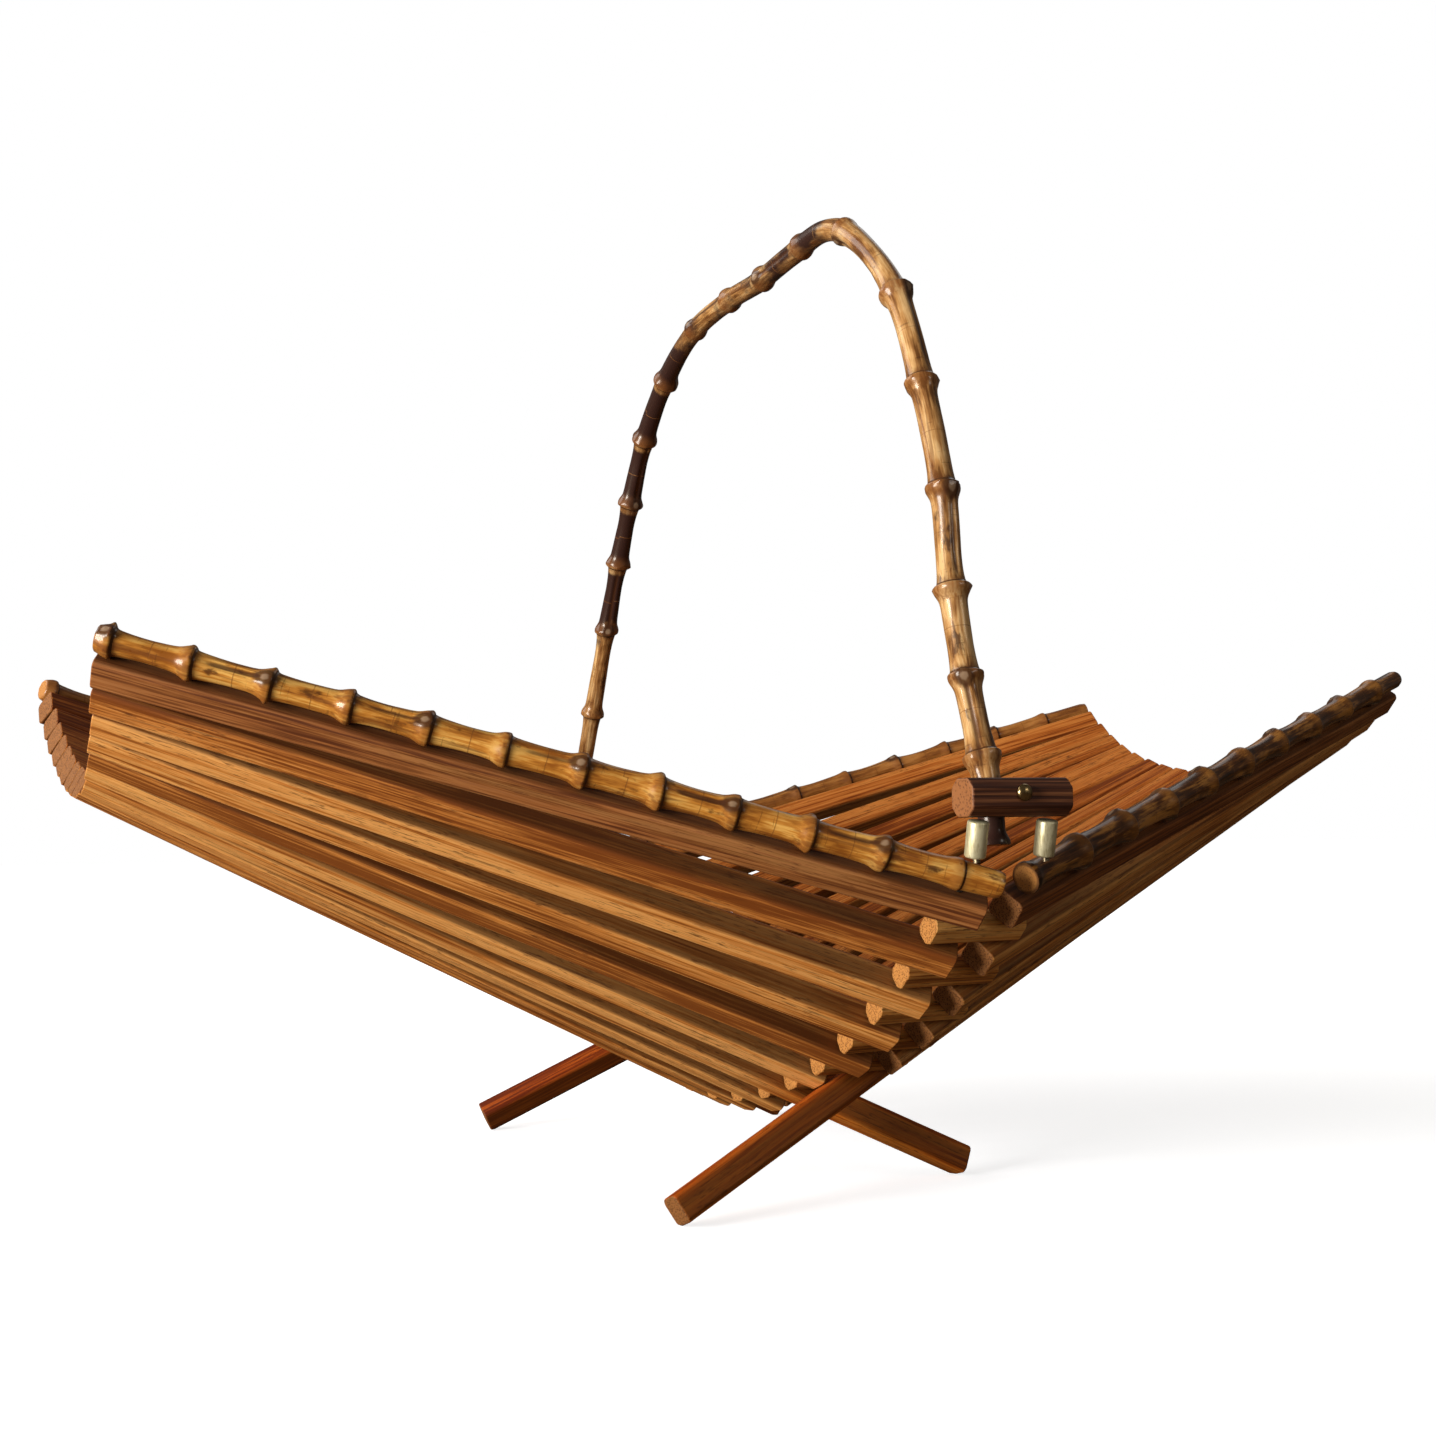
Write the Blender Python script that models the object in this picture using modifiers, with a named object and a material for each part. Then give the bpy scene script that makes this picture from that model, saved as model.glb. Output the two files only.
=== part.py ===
# Collapsible basket of wooden slats strung on two bent wires, with cane rails and a cane handle.
# Metres, +Z up. X runs along the basket, -Y is the near side, and the origin is on the floor
# under the middle of the basket.

import math

import bmesh
import bpy
from mathutils import Matrix, Vector

# How the slats are strung. A level is one left and one right slat side by side. The wires bend
# in an arc from rim to rim, and a short middle slat lies between one level and the next.
LEVEL_COUNT = 19
GROUP_LEVELS = ((0, 1, 2), (3, 4, 5), (6, 7), (8, 9, 10), (11, 12), (13, 14, 15), (16, 17, 18))
LEVEL_PITCH = 0.02424
BOWL_RADIUS = 0.2616
WIRE_HEIGHT = 0.0310
WIRE_SPACING = 0.0275
WIRE_RADIUS = 0.0012
WIRE_HOLE_RADIUS = 0.0021

# Slats. Reach is from the wire to the outer end, overhang from the wire to the inner end, width
# lies along the wire and depth across it.
SLAT_REACH = 0.290
SLAT_OVERHANG = 0.0107
SLAT_WIDTH = 0.0114
SLAT_DEPTH = 0.0114
SLAT_CHAMFER = 0.0014
MIDDLE_SLAT_LENGTH = 0.038
MIDDLE_SLAT_WIDTH = 0.0109
MIDDLE_SLAT_DEPTH = 0.0088
MIDDLE_SLAT_CHAMFER = 0.0021
WING_RISE_MIDDLE = math.radians(26.9)
WING_RISE_RIM = math.radians(24.3)

# Legs are wing slats that go on past the wire to the floor, counted from either rim.
RIGHT_LEG_LEVEL = 5
LEFT_LEG_LEVEL = 6
FOOT_CUT = 0.0014

# Cane of the rails: straight stretches between swollen joints, thinner towards the outer end.
# The first joint's place is measured outwards from the wire.
RAIL_OVERHANG = {"left": 0.0125, "right": 0.0050}
RAIL_FIRST_NODE = {"left": 0.0020, "right": 0.0277}
RAIL_NODE_PITCH = {"left": 0.0257, "right": 0.0297}
RAIL_RADIUS = 0.0052
RAIL_NODE_RADIUS = 0.0063
RAIL_TAPER_SHARE = 0.80
RAIL_HOLE_RADIUS = 0.0024
CANE_NODE_LENGTH = 0.0060

# Foot block, brass tubes and nail at each end of the handle.
BLOCK_LENGTH = 0.040
BLOCK_SIZE = 0.013
BLOCK_CHAMFER = 0.0034
TUBE_RADIUS = 0.0036
TUBE_EDGE = 0.0008
TUBE_LENGTH = 0.0124
TUBE_LEAN = math.radians(12)
TUBE_SEAT = 0.0009
NAIL_RADIUS = 0.0013
NAIL_HOLE_RADIUS = 0.0022
NAIL_HEAD_RADIUS = 0.0029
NAIL_HEAD_HEIGHT = 0.0018
NAIL_RAISE = 0.0015

# Handle: one bent cane from foot to foot. Its arch is a smooth curve through hand-chosen points,
# shares of half its span across and of its rise above the lower end.
HANDLE_RISE = 0.2455
HANDLE_TAIL = 0.0170
HANDLE_RADIUS = 0.0047
HANDLE_NODE_RADIUS = 0.0061
HANDLE_TAPER_SHARE = 0.88
HANDLE_FOOT_RADIUS = 0.0052
HANDLE_FLARE_RADIUS = 0.0072
HANDLE_FLARE_LENGTH = 0.0045
HANDLE_PLAY = 0.0008
HANDLE_JOINT_GAP = 0.0004
HANDLE_ARCH_SHARES = (
    (-1.00, 0.00), (-0.99, 0.08), (-0.925, 0.25), (-0.888, 0.38), (-0.866, 0.52),
    (-0.800, 0.69), (-0.715, 0.84), (-0.575, 0.955), (-0.45, 1.0), (-0.30, 0.995),
    (-0.15, 0.985), (0.0, 0.985), (0.19, 0.968), (0.36, 0.905), (0.500, 0.805),
    (0.595, 0.69), (0.69, 0.56), (0.78, 0.42), (0.885, 0.25), (0.985, 0.08), (1.00, 0.00),
)
HANDLE_NODE_SHARES = (
    0.045, 0.087, 0.133, 0.185, 0.246, 0.304, 0.378, 0.430, 0.480,
    0.527, 0.579, 0.635, 0.685, 0.734, 0.781, 0.833, 0.900,
)

CLEARANCE = 0.0003
CUT_OVERRUN = 0.004
MERGE_DISTANCE = 0.00001
CANE_SIDES = 10
WIRE_SIDES = 8
TUBE_SIDES = 24

HALF_SPACING = WIRE_SPACING / 2
MIDDLE_LEVEL = (LEVEL_COUNT - 1) / 2
RIM_ARC = MIDDLE_LEVEL * LEVEL_PITCH
SIDE_SIGN = {"left": -1, "right": 1}


# Places on the bent wires.

def arc_at(level):
    """Distance along the wire from the middle of the basket to a level, negative when near."""
    return (level - MIDDLE_LEVEL) * LEVEL_PITCH


def slope_at(level):
    """How far the wire leans from level ground at a level."""
    return arc_at(level) / BOWL_RADIUS


def wire_point(level, x=0.0):
    slope = slope_at(level)
    rise = BOWL_RADIUS * (1 - math.cos(slope))
    return Vector((x, BOWL_RADIUS * math.sin(slope), WIRE_HEIGHT + rise))


def level_frame(level, x=0.0):
    """Frame at a level: X along the basket, Y along the wire, Z into the bowl."""
    return Matrix.Translation(wire_point(level, x)) @ Matrix.Rotation(slope_at(level), 4, "X")


def wing_rise(level):
    """Angle between a wing slat and the middle slats."""
    rim_share = (arc_at(level) / RIM_ARC) ** 2
    return WING_RISE_MIDDLE + (WING_RISE_RIM - WING_RISE_MIDDLE) * rim_share


def wing_frame(level, side):
    """Frame of a wing slat: X runs outwards along the slat from the wire, Y along the wire."""
    sign = SIDE_SIGN[side]
    turn = -wing_rise(level) if sign > 0 else math.pi + wing_rise(level)
    return level_frame(level, sign * HALF_SPACING) @ Matrix.Rotation(turn, 4, "Y")


# Making and placing objects.

def clear_scene():
    for item in list(bpy.data.objects):
        bpy.data.objects.remove(item, do_unlink=True)


def new_collection(name):
    collection = bpy.data.collections.new(name)
    bpy.context.scene.collection.children.link(collection)
    return collection


def material(name, colour, roughness, metallic=0.0):
    made = bpy.data.materials.new(name)
    made.use_nodes = True
    shader = made.node_tree.nodes["Principled BSDF"]
    shader.inputs["Base Color"].default_value = (*colour, 1.0)
    shader.inputs["Roughness"].default_value = roughness
    shader.inputs["Metallic"].default_value = metallic
    return made


def add_object(name, data, frame, finish=None, collection=None):
    item = bpy.data.objects.new(name, data)
    (collection or PARTS).objects.link(item)
    item.matrix_world = frame
    if finish:
        data.materials.append(finish)
    return item


def curve_to_mesh(item):
    """Replace a curve object with a closed mesh object of the same name and place."""
    name, frame = item.name, item.matrix_world.copy()
    finishes = list(item.data.materials)
    bpy.context.view_layer.update()
    evaluated = item.evaluated_get(bpy.context.evaluated_depsgraph_get())
    mesh = bpy.data.meshes.new_from_object(evaluated)
    bpy.data.objects.remove(item, do_unlink=True)
    shape = bmesh.new()
    shape.from_mesh(mesh)
    bmesh.ops.remove_doubles(shape, verts=shape.verts, dist=MERGE_DISTANCE)
    bmesh.ops.recalc_face_normals(shape, faces=shape.faces)
    shape.to_mesh(mesh)
    shape.free()
    mesh.materials.clear()
    made = add_object(name, mesh, frame)
    for finish in finishes:
        mesh.materials.append(finish)
    return made


def chamfered_outline(width, height, chamfer):
    """Corners of a rectangle with cut corners, anticlockwise."""
    half_w, half_h = width / 2, height / 2
    inner_w, inner_h = half_w - chamfer, half_h - chamfer
    return [
        (half_w, -inner_h), (half_w, inner_h), (inner_w, half_h), (-inner_w, half_h),
        (-half_w, inner_h), (-half_w, -inner_h), (-inner_w, -half_h), (inner_w, -half_h),
    ]


def bar(name, start, end, width, depth, chamfer, frame, finish):
    """Straight bar with chamfered edges along its frame's X, from start to end."""
    outline = bpy.data.curves.new(name, "CURVE")
    outline.dimensions = "2D"
    outline.fill_mode = "BOTH"
    outline.extrude = (end - start) / 2
    corners = chamfered_outline(width, depth, chamfer)
    spline = outline.splines.new("POLY")
    spline.points.add(len(corners) - 1)
    for point, (across, up) in zip(spline.points, corners):
        point.co = (across, up, 0, 1)
    spline.use_cyclic_u = True
    # The outline's own X, Y and Z become the bar's Y, Z and X.
    lie_down = Matrix(((0, 0, 1, 0), (1, 0, 0, 0), (0, 1, 0, 0), (0, 0, 0, 1)))
    place = frame @ Matrix.Translation(((start + end) / 2, 0, 0)) @ lie_down
    item = add_object(name, outline, place, finish)
    return set_origin(curve_to_mesh(item), frame)


def set_origin(item, frame):
    """Move the object's origin to a frame while its mesh stays where it is."""
    item.data.transform(frame.inverted() @ item.matrix_world)
    item.matrix_world = frame
    return item


def tube_along(name, points, radii, sides, frame, finish=None, collection=None):
    """Round bar along a row of points, each with its own radius."""
    path = bpy.data.curves.new(name, "CURVE")
    path.dimensions = "3D"
    path.bevel_depth = max(radii)
    path.bevel_resolution = sides // 2 - 2
    path.use_fill_caps = True
    spline = path.splines.new("POLY")
    spline.points.add(len(points) - 1)
    for point, place, radius in zip(spline.points, points, radii):
        point.co = (*place, 1)
        point.radius = radius / path.bevel_depth
    item = curve_to_mesh(add_object(name, path, frame, finish, collection))
    item.data.shade_smooth()
    item.data.set_sharp_from_angle(angle=math.radians(50))
    return item


def cylinder_cutter(name, radius, length, frame, sides=WIRE_SIDES):
    """Hidden cylinder along its frame's Y, for Boolean cuts."""
    shape = bmesh.new()
    bmesh.ops.create_cone(
        shape, cap_ends=True, segments=sides, radius1=radius, radius2=radius, depth=length
    )
    mesh = bpy.data.meshes.new(name)
    shape.to_mesh(mesh)
    shape.free()
    cutter = bpy.data.objects.new(name, mesh)
    CUTTERS.objects.link(cutter)
    cutter.matrix_world = frame @ Matrix.Rotation(math.pi / 2, 4, "X")
    cutter.hide_render = True
    cutter.display_type = "WIRE"
    return cutter


def boolean(item, tool, operation):
    modifier = item.modifiers.new(operation.lower(), "BOOLEAN")
    modifier.operation = operation
    modifier.solver = "EXACT"
    modifier.object = tool


def join_shape(item, other):
    """Union another object into this one, and keep the other as a hidden guide."""
    for collection in list(other.users_collection):
        collection.objects.unlink(other)
    CUTTERS.objects.link(other)
    other.hide_render = True
    other.display_type = "WIRE"
    boolean(item, other, "UNION")


# Wing slats and legs.

def leg_reach(level):
    """Length of a leg below the wire, so that the floor cuts its lowest corner by FOOT_CUT."""
    slope, rise = slope_at(level), wing_rise(level)
    corner_drop = SLAT_WIDTH / 2 * abs(math.sin(slope)) + SLAT_DEPTH / 2 * math.cos(rise) * math.cos(slope)
    drop = wire_point(level).z - corner_drop + FOOT_CUT
    return drop / (math.sin(rise) * math.cos(slope))


def partner_overhang(level):
    """Overhang of the slat facing a leg: its end rests on the leg and holds the basket open."""
    rise = wing_rise(level)
    room = WIRE_SPACING * math.sin(rise) - SLAT_DEPTH / 2 * (1 + math.cos(2 * rise)) - CLEARANCE
    return room / math.sin(2 * rise)


def mirrored_level(level):
    """The same level counted from the nearer rim."""
    return min(level, LEVEL_COUNT - 1 - level)


def is_leg(level, side):
    leg_level = RIGHT_LEG_LEVEL if side == "right" else LEFT_LEG_LEVEL
    return mirrored_level(level) == leg_level


def slat_overhang(level, side):
    other = "left" if side == "right" else "right"
    if is_leg(level, side):
        return leg_reach(level)
    if is_leg(level, other):
        return partner_overhang(level)
    return SLAT_OVERHANG


def cut_at_floor(item, level, frame):
    """Cut the leg's end level, so that it stands flat on the floor."""
    foot = frame @ Vector((-leg_reach(level), 0, 0))
    block_size = leg_reach(level)
    bpy.ops.mesh.primitive_cube_add(size=block_size, location=(foot.x, foot.y, -block_size / 2))
    cutter = bpy.context.object
    cutter.name = item.name + "_floor"
    for collection in list(cutter.users_collection):
        collection.objects.unlink(cutter)
    CUTTERS.objects.link(cutter)
    cutter.hide_render = True
    cutter.display_type = "WIRE"
    boolean(item, cutter, "DIFFERENCE")


def wing_slat(level, side, finish):
    kind = "leg_slat" if is_leg(level, side) else "slat"
    name = f"{side}_{kind}_{level + 1:02d}"
    frame = wing_frame(level, side)
    overhang = slat_overhang(level, side)
    item = bar(name, -overhang, SLAT_REACH, SLAT_WIDTH, SLAT_DEPTH, SLAT_CHAMFER, frame, finish)
    hole = cylinder_cutter(name + "_hole", WIRE_HOLE_RADIUS, SLAT_WIDTH + CUT_OVERRUN, frame)
    boolean(item, hole, "DIFFERENCE")
    if is_leg(level, side):
        cut_at_floor(item, level, frame)
    return item


# Middle slats with the stretch of both wires that they hold.

def middle_slat_places(group):
    """Half-way levels whose middle slats belong to a group: all but the outermost gap's."""
    levels = GROUP_LEVELS[group]
    if levels[-1] < MIDDLE_LEVEL:
        return [level + 0.5 for level in levels]
    if levels[0] > MIDDLE_LEVEL:
        return [level - 0.5 for level in levels]
    return [level + 0.5 for level in levels[:-1]]


def wire_span(group):
    """First and last level, with fractions, that a group's stretch of wire reaches."""
    levels = GROUP_LEVELS[group]
    end_share = (SLAT_WIDTH / 2 + CLEARANCE) / LEVEL_PITCH
    joint_share = 0.5
    first, last = levels[0] - end_share, levels[-1] + end_share
    if levels[-1] < MIDDLE_LEVEL:
        last = levels[-1] + joint_share
    if levels[0] > MIDDLE_LEVEL:
        first = levels[0] - joint_share
    if levels[0] == 0:
        first = -wire_end_arc() / LEVEL_PITCH
    if levels[-1] == LEVEL_COUNT - 1:
        last = LEVEL_COUNT - 1 + wire_end_arc() / LEVEL_PITCH
    return first, last


def wire_stretch(name, first, last, side):
    """Bent wire between two levels; beyond the rim it goes on straight."""
    x = SIDE_SIGN[side] * HALF_SPACING
    steps = max(2, math.ceil((last - first) * 2) + 1)
    points = []
    for step in range(steps):
        level = first + (last - first) * step / (steps - 1)
        rim_level = min(max(level, 0), LEVEL_COUNT - 1)
        beyond = (level - rim_level) * LEVEL_PITCH
        points.append(level_frame(rim_level, x) @ Vector((0, beyond, 0)))
    radii = [WIRE_RADIUS] * len(points)
    return tube_along(name, points, radii, WIRE_SIDES, Matrix.Identity(4))


def middle_link(group, finish):
    name = f"middle_slats_{group + 1}"
    places = middle_slat_places(group)
    half_length = MIDDLE_SLAT_LENGTH / 2
    origin = level_frame(group_hinge_level(group))
    slats = [
        bar(f"{name}_slat_{number}", -half_length, half_length, MIDDLE_SLAT_WIDTH, MIDDLE_SLAT_DEPTH,
            MIDDLE_SLAT_CHAMFER, level_frame(place), finish)
        for number, place in enumerate(places)
    ]
    item = slats[0]
    item.name = name
    for other in slats[1:]:
        join_shape(item, other)
    first, last = wire_span(group)
    for side in SIDE_SIGN:
        join_shape(item, wire_stretch(f"{name}_{side}_wire", first, last, side))
    return set_origin(item, origin)


def group_hinge_level(group):
    """Where a group bends away from the next one nearer the middle."""
    levels = GROUP_LEVELS[group]
    if levels[-1] < MIDDLE_LEVEL:
        return levels[-1] + 0.75
    if levels[0] > MIDDLE_LEVEL:
        return levels[0] - 0.75
    return MIDDLE_LEVEL


# Cane rails along the outermost slats.

def rail_seat(radius):
    """Height of a rail's centre line over the slat's, along the wire."""
    return SLAT_WIDTH / 2 + CLEARANCE + radius


def tube_tilt():
    """Angle between the wire where it leaves the rim and the brass tubes."""
    return math.pi / 2 + slope_at(0) - TUBE_LEAN


def wire_end_arc():
    """How far past the rim slat's centre the wire ends: at the rail's outer skin."""
    return rail_seat(RAIL_NODE_RADIUS) + RAIL_RADIUS


def cane_profile(length, node_places, radius, node_radius, taper_share):
    """Distances and radii along a cane: waisted stretches between swollen joints."""
    half = CANE_NODE_LENGTH / 2
    stations = [(0.0, radius)]
    for place in node_places:
        stations += [(place - half, radius), (place, node_radius), (place + half, radius)]
    stations.append((length, radius))
    return [
        (distance, size * (1 - (1 - taper_share) * distance / length))
        for distance, size in stations
    ]


def rail(end, side, finish):
    level = 0 if end == "near" else LEVEL_COUNT - 1
    outward = -1 if end == "near" else 1
    overhang = RAIL_OVERHANG[side]
    length = overhang + SLAT_REACH
    first_node = overhang + RAIL_FIRST_NODE[side]
    node_count = int((length - first_node) / RAIL_NODE_PITCH[side]) + 1
    nodes = [first_node + RAIL_NODE_PITCH[side] * number for number in range(node_count)]
    nodes = [place for place in nodes if place < length - CANE_NODE_LENGTH]
    profile = cane_profile(length, nodes, RAIL_RADIUS, RAIL_NODE_RADIUS, RAIL_TAPER_SHARE)
    points = []
    for distance, _ in profile:
        node_radius = RAIL_NODE_RADIUS * (1 - (1 - RAIL_TAPER_SHARE) * distance / length)
        points.append((distance - overhang, outward * rail_seat(node_radius), 0))
    frame = wing_frame(level, side)
    name = f"rail_{end}_{side}"
    item = tube_along(name, points, [size for _, size in profile], CANE_SIDES, frame, finish)
    hole_frame = frame @ Matrix.Translation((0, outward * rail_seat(RAIL_NODE_RADIUS), 0))
    hole_length = 2 * RAIL_NODE_RADIUS + CUT_OVERRUN
    boolean(item, cylinder_cutter(name + "_hole", RAIL_HOLE_RADIUS, hole_length, hole_frame), "DIFFERENCE")
    return item


# Handle foot: two brass tubes over the wires, a block on top of them and a nail.

def tube_base():
    """Centre of the near tubes' lower ends, in the plane across the basket."""
    standoff = (RAIL_NODE_RADIUS + TUBE_SEAT) / math.cos(tube_tilt())
    return level_frame(0) @ Vector((0, -rail_seat(RAIL_NODE_RADIUS) - standoff, 0))


def tube_direction():
    return Vector((0, -math.sin(TUBE_LEAN), math.cos(TUBE_LEAN)))


def block_centre():
    top = tube_base() + tube_direction() * TUBE_LENGTH
    return Vector((0, top.y, top.z + tube_top_rise() + CLEARANCE + BLOCK_SIZE / 2))


def tube_top_rise():
    """How far a leaning tube's upper edge stands over the centre of its end."""
    return TUBE_RADIUS * math.sin(TUBE_LEAN)


def handle_foot_y():
    return block_centre().y + BLOCK_SIZE / 2 + HANDLE_PLAY + HANDLE_FOOT_RADIUS


def nail_height():
    return block_centre().z + NAIL_RAISE


def near_or_far(end):
    """Matrix that leaves near pieces alone and turns far ones half round the basket's middle."""
    return Matrix.Identity(4) if end == "near" else Matrix.Rotation(math.pi, 4, "Z")


def brass_tube(end, side, finish):
    sign = SIDE_SIGN[side] if end == "near" else -SIDE_SIGN[side]
    base = tube_base() + Vector((sign * HALF_SPACING, 0, 0))
    lean = Matrix.Rotation(TUBE_LEAN, 4, "X")
    frame = near_or_far(end) @ Matrix.Translation(base) @ lean
    name = f"brass_tube_{end}_{side}"
    mesh = bpy.data.meshes.new(name)
    shape = bmesh.new()
    waist = TUBE_RADIUS - TUBE_EDGE
    profile = [
        (0, TUBE_LENGTH), (waist, TUBE_LENGTH), (TUBE_RADIUS, TUBE_LENGTH - TUBE_EDGE),
        (TUBE_RADIUS, TUBE_EDGE), (waist, 0), (0, 0),
    ]
    verts = [shape.verts.new((radius, 0, height)) for radius, height in profile]
    for first, second in zip(verts, verts[1:]):
        shape.edges.new((first, second))
    shape.to_mesh(mesh)
    shape.free()
    item = add_object(name, mesh, frame, finish)
    screw = item.modifiers.new("turn", "SCREW")
    screw.steps = TUBE_SIDES
    screw.render_steps = TUBE_SIDES
    screw.use_merge_vertices = True
    screw.merge_threshold = MERGE_DISTANCE
    screw.use_smooth_shade = True
    return item


def foot_block(end, finish):
    frame = near_or_far(end) @ Matrix.Translation(block_centre())
    half = BLOCK_LENGTH / 2
    item = bar(f"foot_block_{end}", -half, half, BLOCK_SIZE, BLOCK_SIZE, BLOCK_CHAMFER, frame, finish)
    hole_frame = frame @ Matrix.Translation((0, 0, NAIL_RAISE))
    hole_length = BLOCK_SIZE + CUT_OVERRUN
    hole = cylinder_cutter(item.name + "_hole", NAIL_RADIUS + CLEARANCE, hole_length, hole_frame)
    boolean(item, hole, "DIFFERENCE")
    return item


def nail(end, finish):
    """Domed nail through the block and the cane, turned from a profile about its own length."""
    inner = handle_foot_y() + HANDLE_FOOT_RADIUS
    outer = block_centre().y - BLOCK_SIZE / 2 - CLEARANCE
    frame = (
        near_or_far(end)
        @ Matrix.Translation((0, outer, nail_height()))
        @ Matrix.Rotation(math.pi / 2, 4, "X")
    )
    name = f"nail_{end}"
    mesh = bpy.data.meshes.new(name)
    shape = bmesh.new()
    dome_steps = 4
    profile = [(0, NAIL_HEAD_HEIGHT)]
    for step in range(1, dome_steps + 1):
        turn = math.pi / 2 * step / dome_steps
        profile.append((NAIL_HEAD_RADIUS * math.sin(turn), NAIL_HEAD_HEIGHT * math.cos(turn)))
    shank = outer - inner
    profile += [(NAIL_RADIUS, 0), (NAIL_RADIUS, shank), (0, shank)]
    verts = [shape.verts.new((radius, 0, height)) for radius, height in profile]
    for first, second in zip(verts, verts[1:]):
        shape.edges.new((first, second))
    shape.to_mesh(mesh)
    shape.free()
    item = add_object(name, mesh, frame, finish)
    screw = item.modifiers.new("turn", "SCREW")
    screw.steps = CANE_SIDES
    screw.render_steps = CANE_SIDES
    screw.use_merge_vertices = True
    screw.merge_threshold = MERGE_DISTANCE
    screw.use_smooth_shade = True
    return item


# Handle, in two halves that meet at the crown, because the bent cane flexes there.

def smooth_through(points, steps):
    """Points of a smooth curve through the given ones."""
    padded = [2 * points[0] - points[1], *points, 2 * points[-1] - points[-2]]
    smooth = []
    for before, start, end, after in zip(padded, padded[1:], padded[2:], padded[3:]):
        for step in range(steps):
            t = step / steps
            bend = (2 * before - 5 * start + 4 * end - after) * t * t
            turn = (3 * start - before - 3 * end + after) * t * t * t
            smooth.append((2 * start + (end - before) * t + bend + turn) / 2)
    smooth.append(points[-1])
    return smooth


def handle_arch():
    """Fine points of the handle's centre line from its near foot to its far one."""
    half_span = -handle_foot_y()
    bottom = nail_height() - HANDLE_TAIL
    corners = [
        Vector((0, across * half_span, bottom + up * HANDLE_RISE))
        for across, up in HANDLE_ARCH_SHARES
    ]
    return smooth_through(corners, 12)


def point_along(points, distance):
    """The point at a distance along a row of points."""
    for start, end in zip(points, points[1:]):
        step = (end - start).length
        if distance <= step:
            return start.lerp(end, distance / step)
        distance -= step
    return points[-1]


def arch_length(points):
    return sum((end - start).length for start, end in zip(points, points[1:]))


def crown_distance(points):
    """How far along the arch it crosses the middle of the basket."""
    travelled = 0.0
    for start, end in zip(points, points[1:]):
        if end.y >= 0:
            return travelled + (end - start).length * -start.y / (end.y - start.y)
        travelled += (end - start).length
    return travelled


def handle_stations(length):
    """Distances and radii along the whole handle."""
    half = CANE_NODE_LENGTH / 2
    nodes = [share * length for share in HANDLE_NODE_SHARES]
    straight_end = nodes[0] - half - CANE_NODE_LENGTH
    stations = [
        (0.0, HANDLE_FLARE_RADIUS), (HANDLE_FLARE_LENGTH / 2, HANDLE_FLARE_RADIUS),
        (HANDLE_FLARE_LENGTH, HANDLE_FOOT_RADIUS), (straight_end, HANDLE_FOOT_RADIUS),
    ]
    for place, following in zip(nodes, nodes[1:] + [length]):
        size = 1 - (1 - HANDLE_TAPER_SHARE) * place / length
        stations.append((place - half, HANDLE_RADIUS * size))
        stations.append((place, HANDLE_NODE_RADIUS * size))
        stations.append((place + half, HANDLE_RADIUS * size))
        if following < length:
            stations.append(((place + following) / 2, HANDLE_RADIUS * size))
    stations += [
        (length - straight_end, HANDLE_FOOT_RADIUS), (length - HANDLE_FLARE_LENGTH, HANDLE_FOOT_RADIUS),
        (length - HANDLE_FLARE_LENGTH / 2, HANDLE_FLARE_RADIUS), (length, HANDLE_FLARE_RADIUS),
    ]
    return stations


def handle_half(end, finish):
    arch = handle_arch()
    length = arch_length(arch)
    crown = crown_distance(arch)
    if end == "near":
        low, high = 0.0, crown - HANDLE_JOINT_GAP / 2
    else:
        low, high = crown + HANDLE_JOINT_GAP / 2, length
    stations = handle_stations(length)
    inside = [(place, size) for place, size in stations if low < place < high]
    edges = [(place, HANDLE_RADIUS) for place in (low, high) if 0 < place < length]
    ends = [station for station in stations if station[0] in (low, high)]
    chosen = sorted(inside + edges + ends)
    points = [point_along(arch, place) for place, _ in chosen]
    name = f"handle_{end}_half"
    item = tube_along(name, points, [size for _, size in chosen], CANE_SIDES, Matrix.Identity(4), finish)
    foot = near_or_far(end) @ Vector((0, handle_foot_y(), nail_height()))
    hole_length = 2 * (HANDLE_FOOT_RADIUS + HANDLE_FLARE_RADIUS) + CUT_OVERRUN
    hole = cylinder_cutter(name + "_hole", NAIL_HOLE_RADIUS, hole_length, Matrix.Translation(foot))
    boolean(item, hole, "DIFFERENCE")
    return set_origin(item, Matrix.Translation(foot))


# The whole basket.

def build():
    slat_wood = material("slat_wood", (0.42, 0.19, 0.075), 0.5)
    middle_wood = material("middle_slat_wood", (0.45, 0.22, 0.09), 0.55)
    rail_cane = material("rail_cane", (0.50, 0.26, 0.08), 0.3)
    handle_cane = material("handle_cane", (0.36, 0.17, 0.06), 0.3)
    block_wood = material("block_wood", (0.10, 0.025, 0.012), 0.45)
    tube_brass = material("tube_brass", (0.72, 0.66, 0.50), 0.35, 1.0)
    nail_brass = material("nail_brass", (0.60, 0.47, 0.24), 0.25, 1.0)

    for level in range(LEVEL_COUNT):
        for side in SIDE_SIGN:
            wing_slat(level, side, slat_wood)
    for group in range(len(GROUP_LEVELS)):
        middle_link(group, middle_wood)
    for end in ("near", "far"):
        for side in SIDE_SIGN:
            rail(end, side, rail_cane)
            brass_tube(end, side, tube_brass)
        foot_block(end, block_wood)
        nail(end, nail_brass)
        handle_half(end, handle_cane)


clear_scene()
PARTS = new_collection("collapsible_basket")
CUTTERS = new_collection("cutters")
build()
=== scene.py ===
import math
import random

import bmesh
import bpy
import numpy as np
from mathutils import Matrix, Vector


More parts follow.
